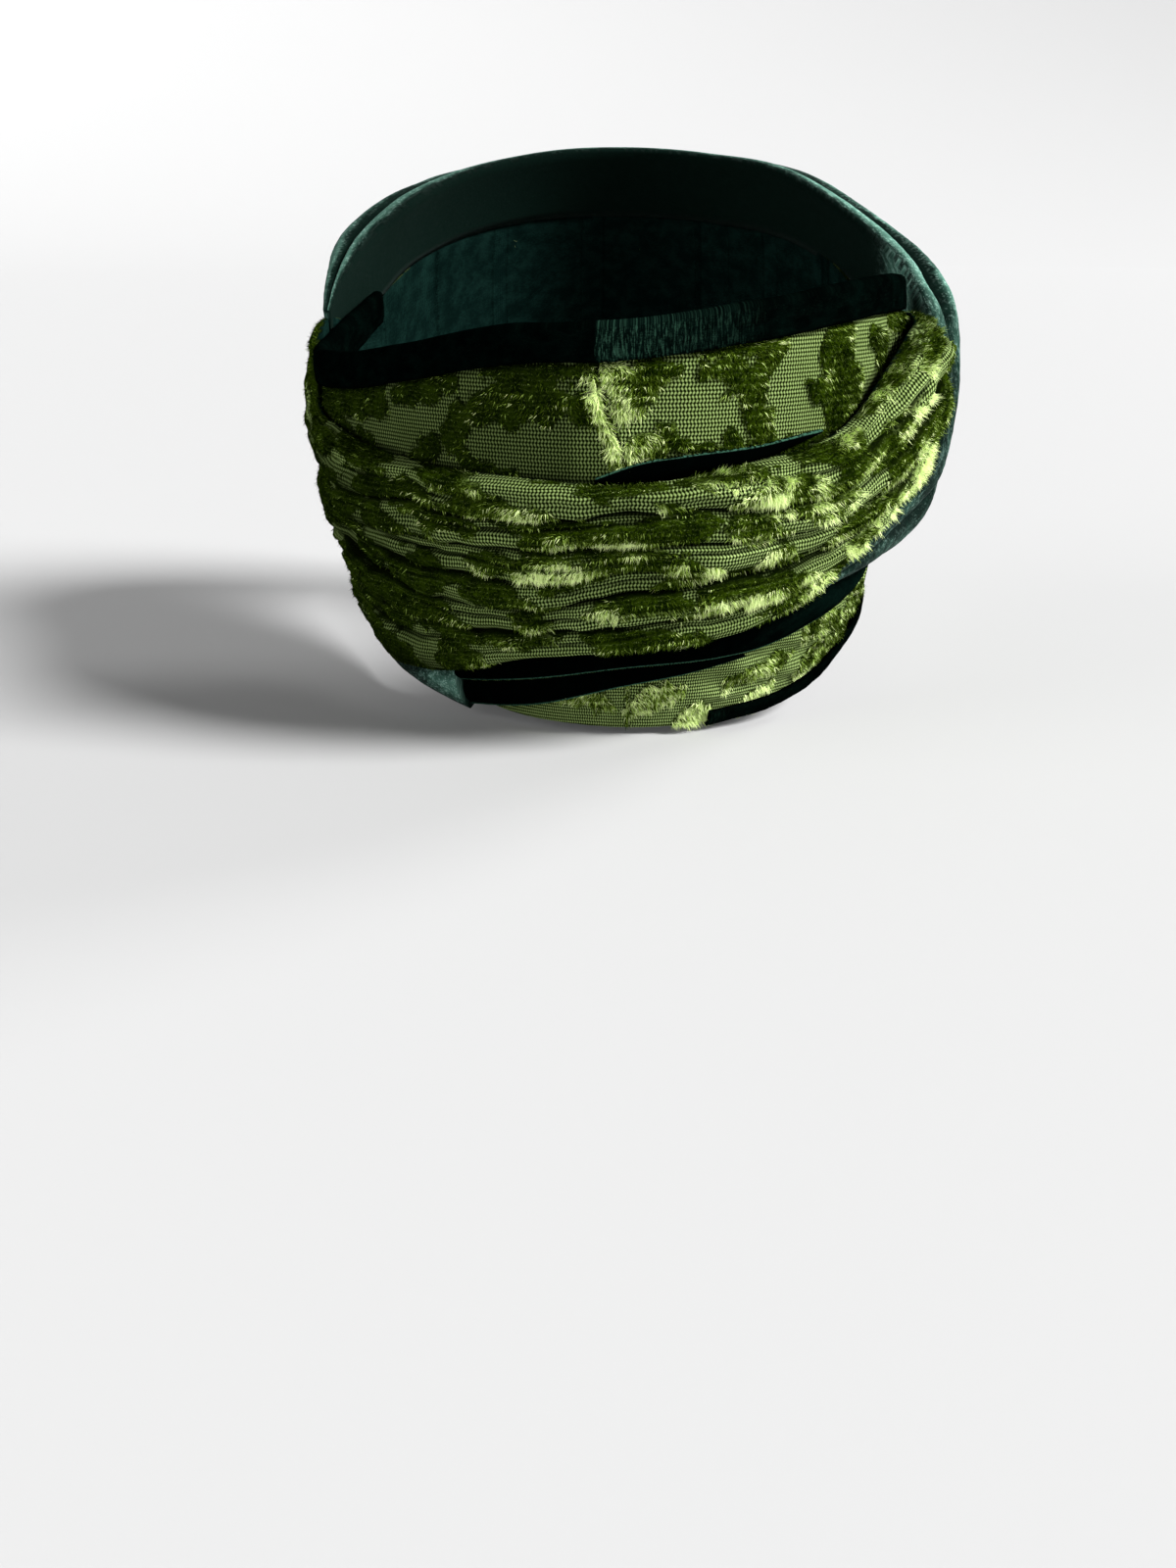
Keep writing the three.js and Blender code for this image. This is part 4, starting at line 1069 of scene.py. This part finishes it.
panelLeft = dress(backPanel("bandLeft", -1), "devore_cloth", "back_panel_left")
panelRight = dress(backPanel("bandRight", 1), "devore_cloth", "back_panel_right")
topShares = np.linspace(0, 1, binding["topColumns"])
bindingLeft = dress(foldedBinding("topBindingLeft", -1, topShares, 1, "top", binding["width"]),
                    "dark_velvet", "top_binding_left")
bindingRight = dress(foldedBinding("topBindingRight", 1, topShares, 1, "top", binding["width"]),
                     "dark_velvet", "top_binding_right")
napeShares = np.linspace(0, binding["napeShare"], binding["napeColumns"])
napeBinding = dress(foldedBinding("napeBinding", 1, napeShares, -1, "low", binding["napeWidth"]),
                    "dark_velvet", "nape_binding")
wrapCloth = dress(gatheredWrap(), "devore_cloth", "gathered_wrap")
rolled = dress(velvetRoll(), "teal_velvet", "velvet_roll")
dress(velvetStrip("wrapTopBorder"), "dark_velvet", "wrap_top_border")
dress(velvetStrip("borderStripUpper"), "dark_velvet", "border_strip_upper")
dress(velvetStrip("borderStripLower"), "dark_velvet", "border_strip_lower")
dress(velvetStrip("lowerBorder"), "teal_velvet", "lower_border")

bandPile = pileFibres("bandPile", ["bandLeft", "bandRight"], count=36000, first=-108, last=94, seed=81)
pileRight = pileFibres("wrapPileRight", ["gatheredWrap"], count=48000, first=-2, last=90, seed=82)
pileLeft = pileFibres("wrapPileLeft", ["gatheredWrap"], count=44000, first=-280, last=-2, seed=83)

print("pieces dressed")


# Floor, light and camera
stage = {
    "floorZ": -0.1118, "flatTo": 4.0, "rimAt": 12.0, "rimHeight": 5.0, "rimSteps": 12, "corners": 96,
    "paint": (0.50, 0.50, 0.50, 1), "paintRoughness": 0.9, "worldColour": (0.97, 0.98, 1.0, 1),
    "worldStrength": 0.13,
}
bm = bmesh.new()
bmesh.ops.create_circle(bm, cap_ends=True, segments=stage["corners"], radius=stage["flatTo"])
rimEdges = [edge for edge in bm.edges if edge.is_boundary]
for step in range(stage["rimSteps"]):  # the floor curves up far outside the lights, so no line shows behind
    made = bmesh.ops.extrude_edge_only(bm, edges=rimEdges)["geom"]
    rimEdges = [item for item in made if isinstance(item, bmesh.types.BMEdge) and item.is_boundary]
    bend = (step + 1) / stage["rimSteps"] * pi / 2
    reach = stage["flatTo"] + (stage["rimAt"] - stage["flatTo"]) * sin(bend)
    rise = stage["rimHeight"] * (1 - cos(bend))
    for corner in {vert for edge in rimEdges for vert in edge.verts}:
        flat = Vector((corner.co.x, corner.co.y)).normalized() * reach
        corner.co = (flat.x, flat.y, rise)
bmesh.ops.translate(bm, vec=(0, 0, stage["floorZ"]), verts=bm.verts)
bmesh.ops.recalc_face_normals(bm, faces=bm.faces)
for face in bm.faces:
    face.smooth = len(face.verts) == 4
floorMesh = bpy.data.meshes.new("floor")
bm.to_mesh(floorMesh)
bm.free()
floor = addObject("floor", floorMesh)
floorPaint = Finish("floorPaint").surface({"Base Color": stage["paint"],
                                           "Roughness": stage["paintRoughness"]})
floor.data.materials.append(floorPaint)
floor.visible_shadow = False  # the raised rim stays out of the sun's way

world = bpy.data.worlds.new("studio")
bpy.context.scene.world = world
world.use_nodes = True
backdrop = world.node_tree.nodes["Background"].inputs
backdrop["Color"].default_value = stage["worldColour"]
backdrop["Strength"].default_value = stage["worldStrength"]
bpy.context.scene.view_settings.view_transform = "Standard"

suns = {  # which way it shines, strength, width in degrees
    "keyLight": ((-0.80, 0.30, -0.60), 6.6, 22),
    "rimLight": ((-0.75, -0.60, -0.45), 1.6, 20),
    "fillLight": ((0.85, 0.35, -0.40), 0.7, 40),
}
for name, (shineTowards, energy, width) in suns.items():
    lamp = bpy.data.lights.new(name, "SUN")
    lamp.energy = energy
    lamp.angle = radians(width)
    addObject(name, lamp).rotation_euler = Vector(shineTowards).to_track_quat("-Z", "Y").to_euler()

view = {"place": (-0.0099, -0.520, 0.026), "tiltDown": 18.6, "focal": 39.375, "sensor": 36}
cameraData = bpy.data.cameras.new("camera")
cameraData.lens = view["focal"]
cameraData.sensor_width = view["sensor"]
camera = addObject("camera", cameraData)
camera.location = view["place"]
camera.rotation_euler = (radians(90 - view["tiltDown"]), 0, 0)
bpy.context.scene.camera = camera
print("camera and lights ready")
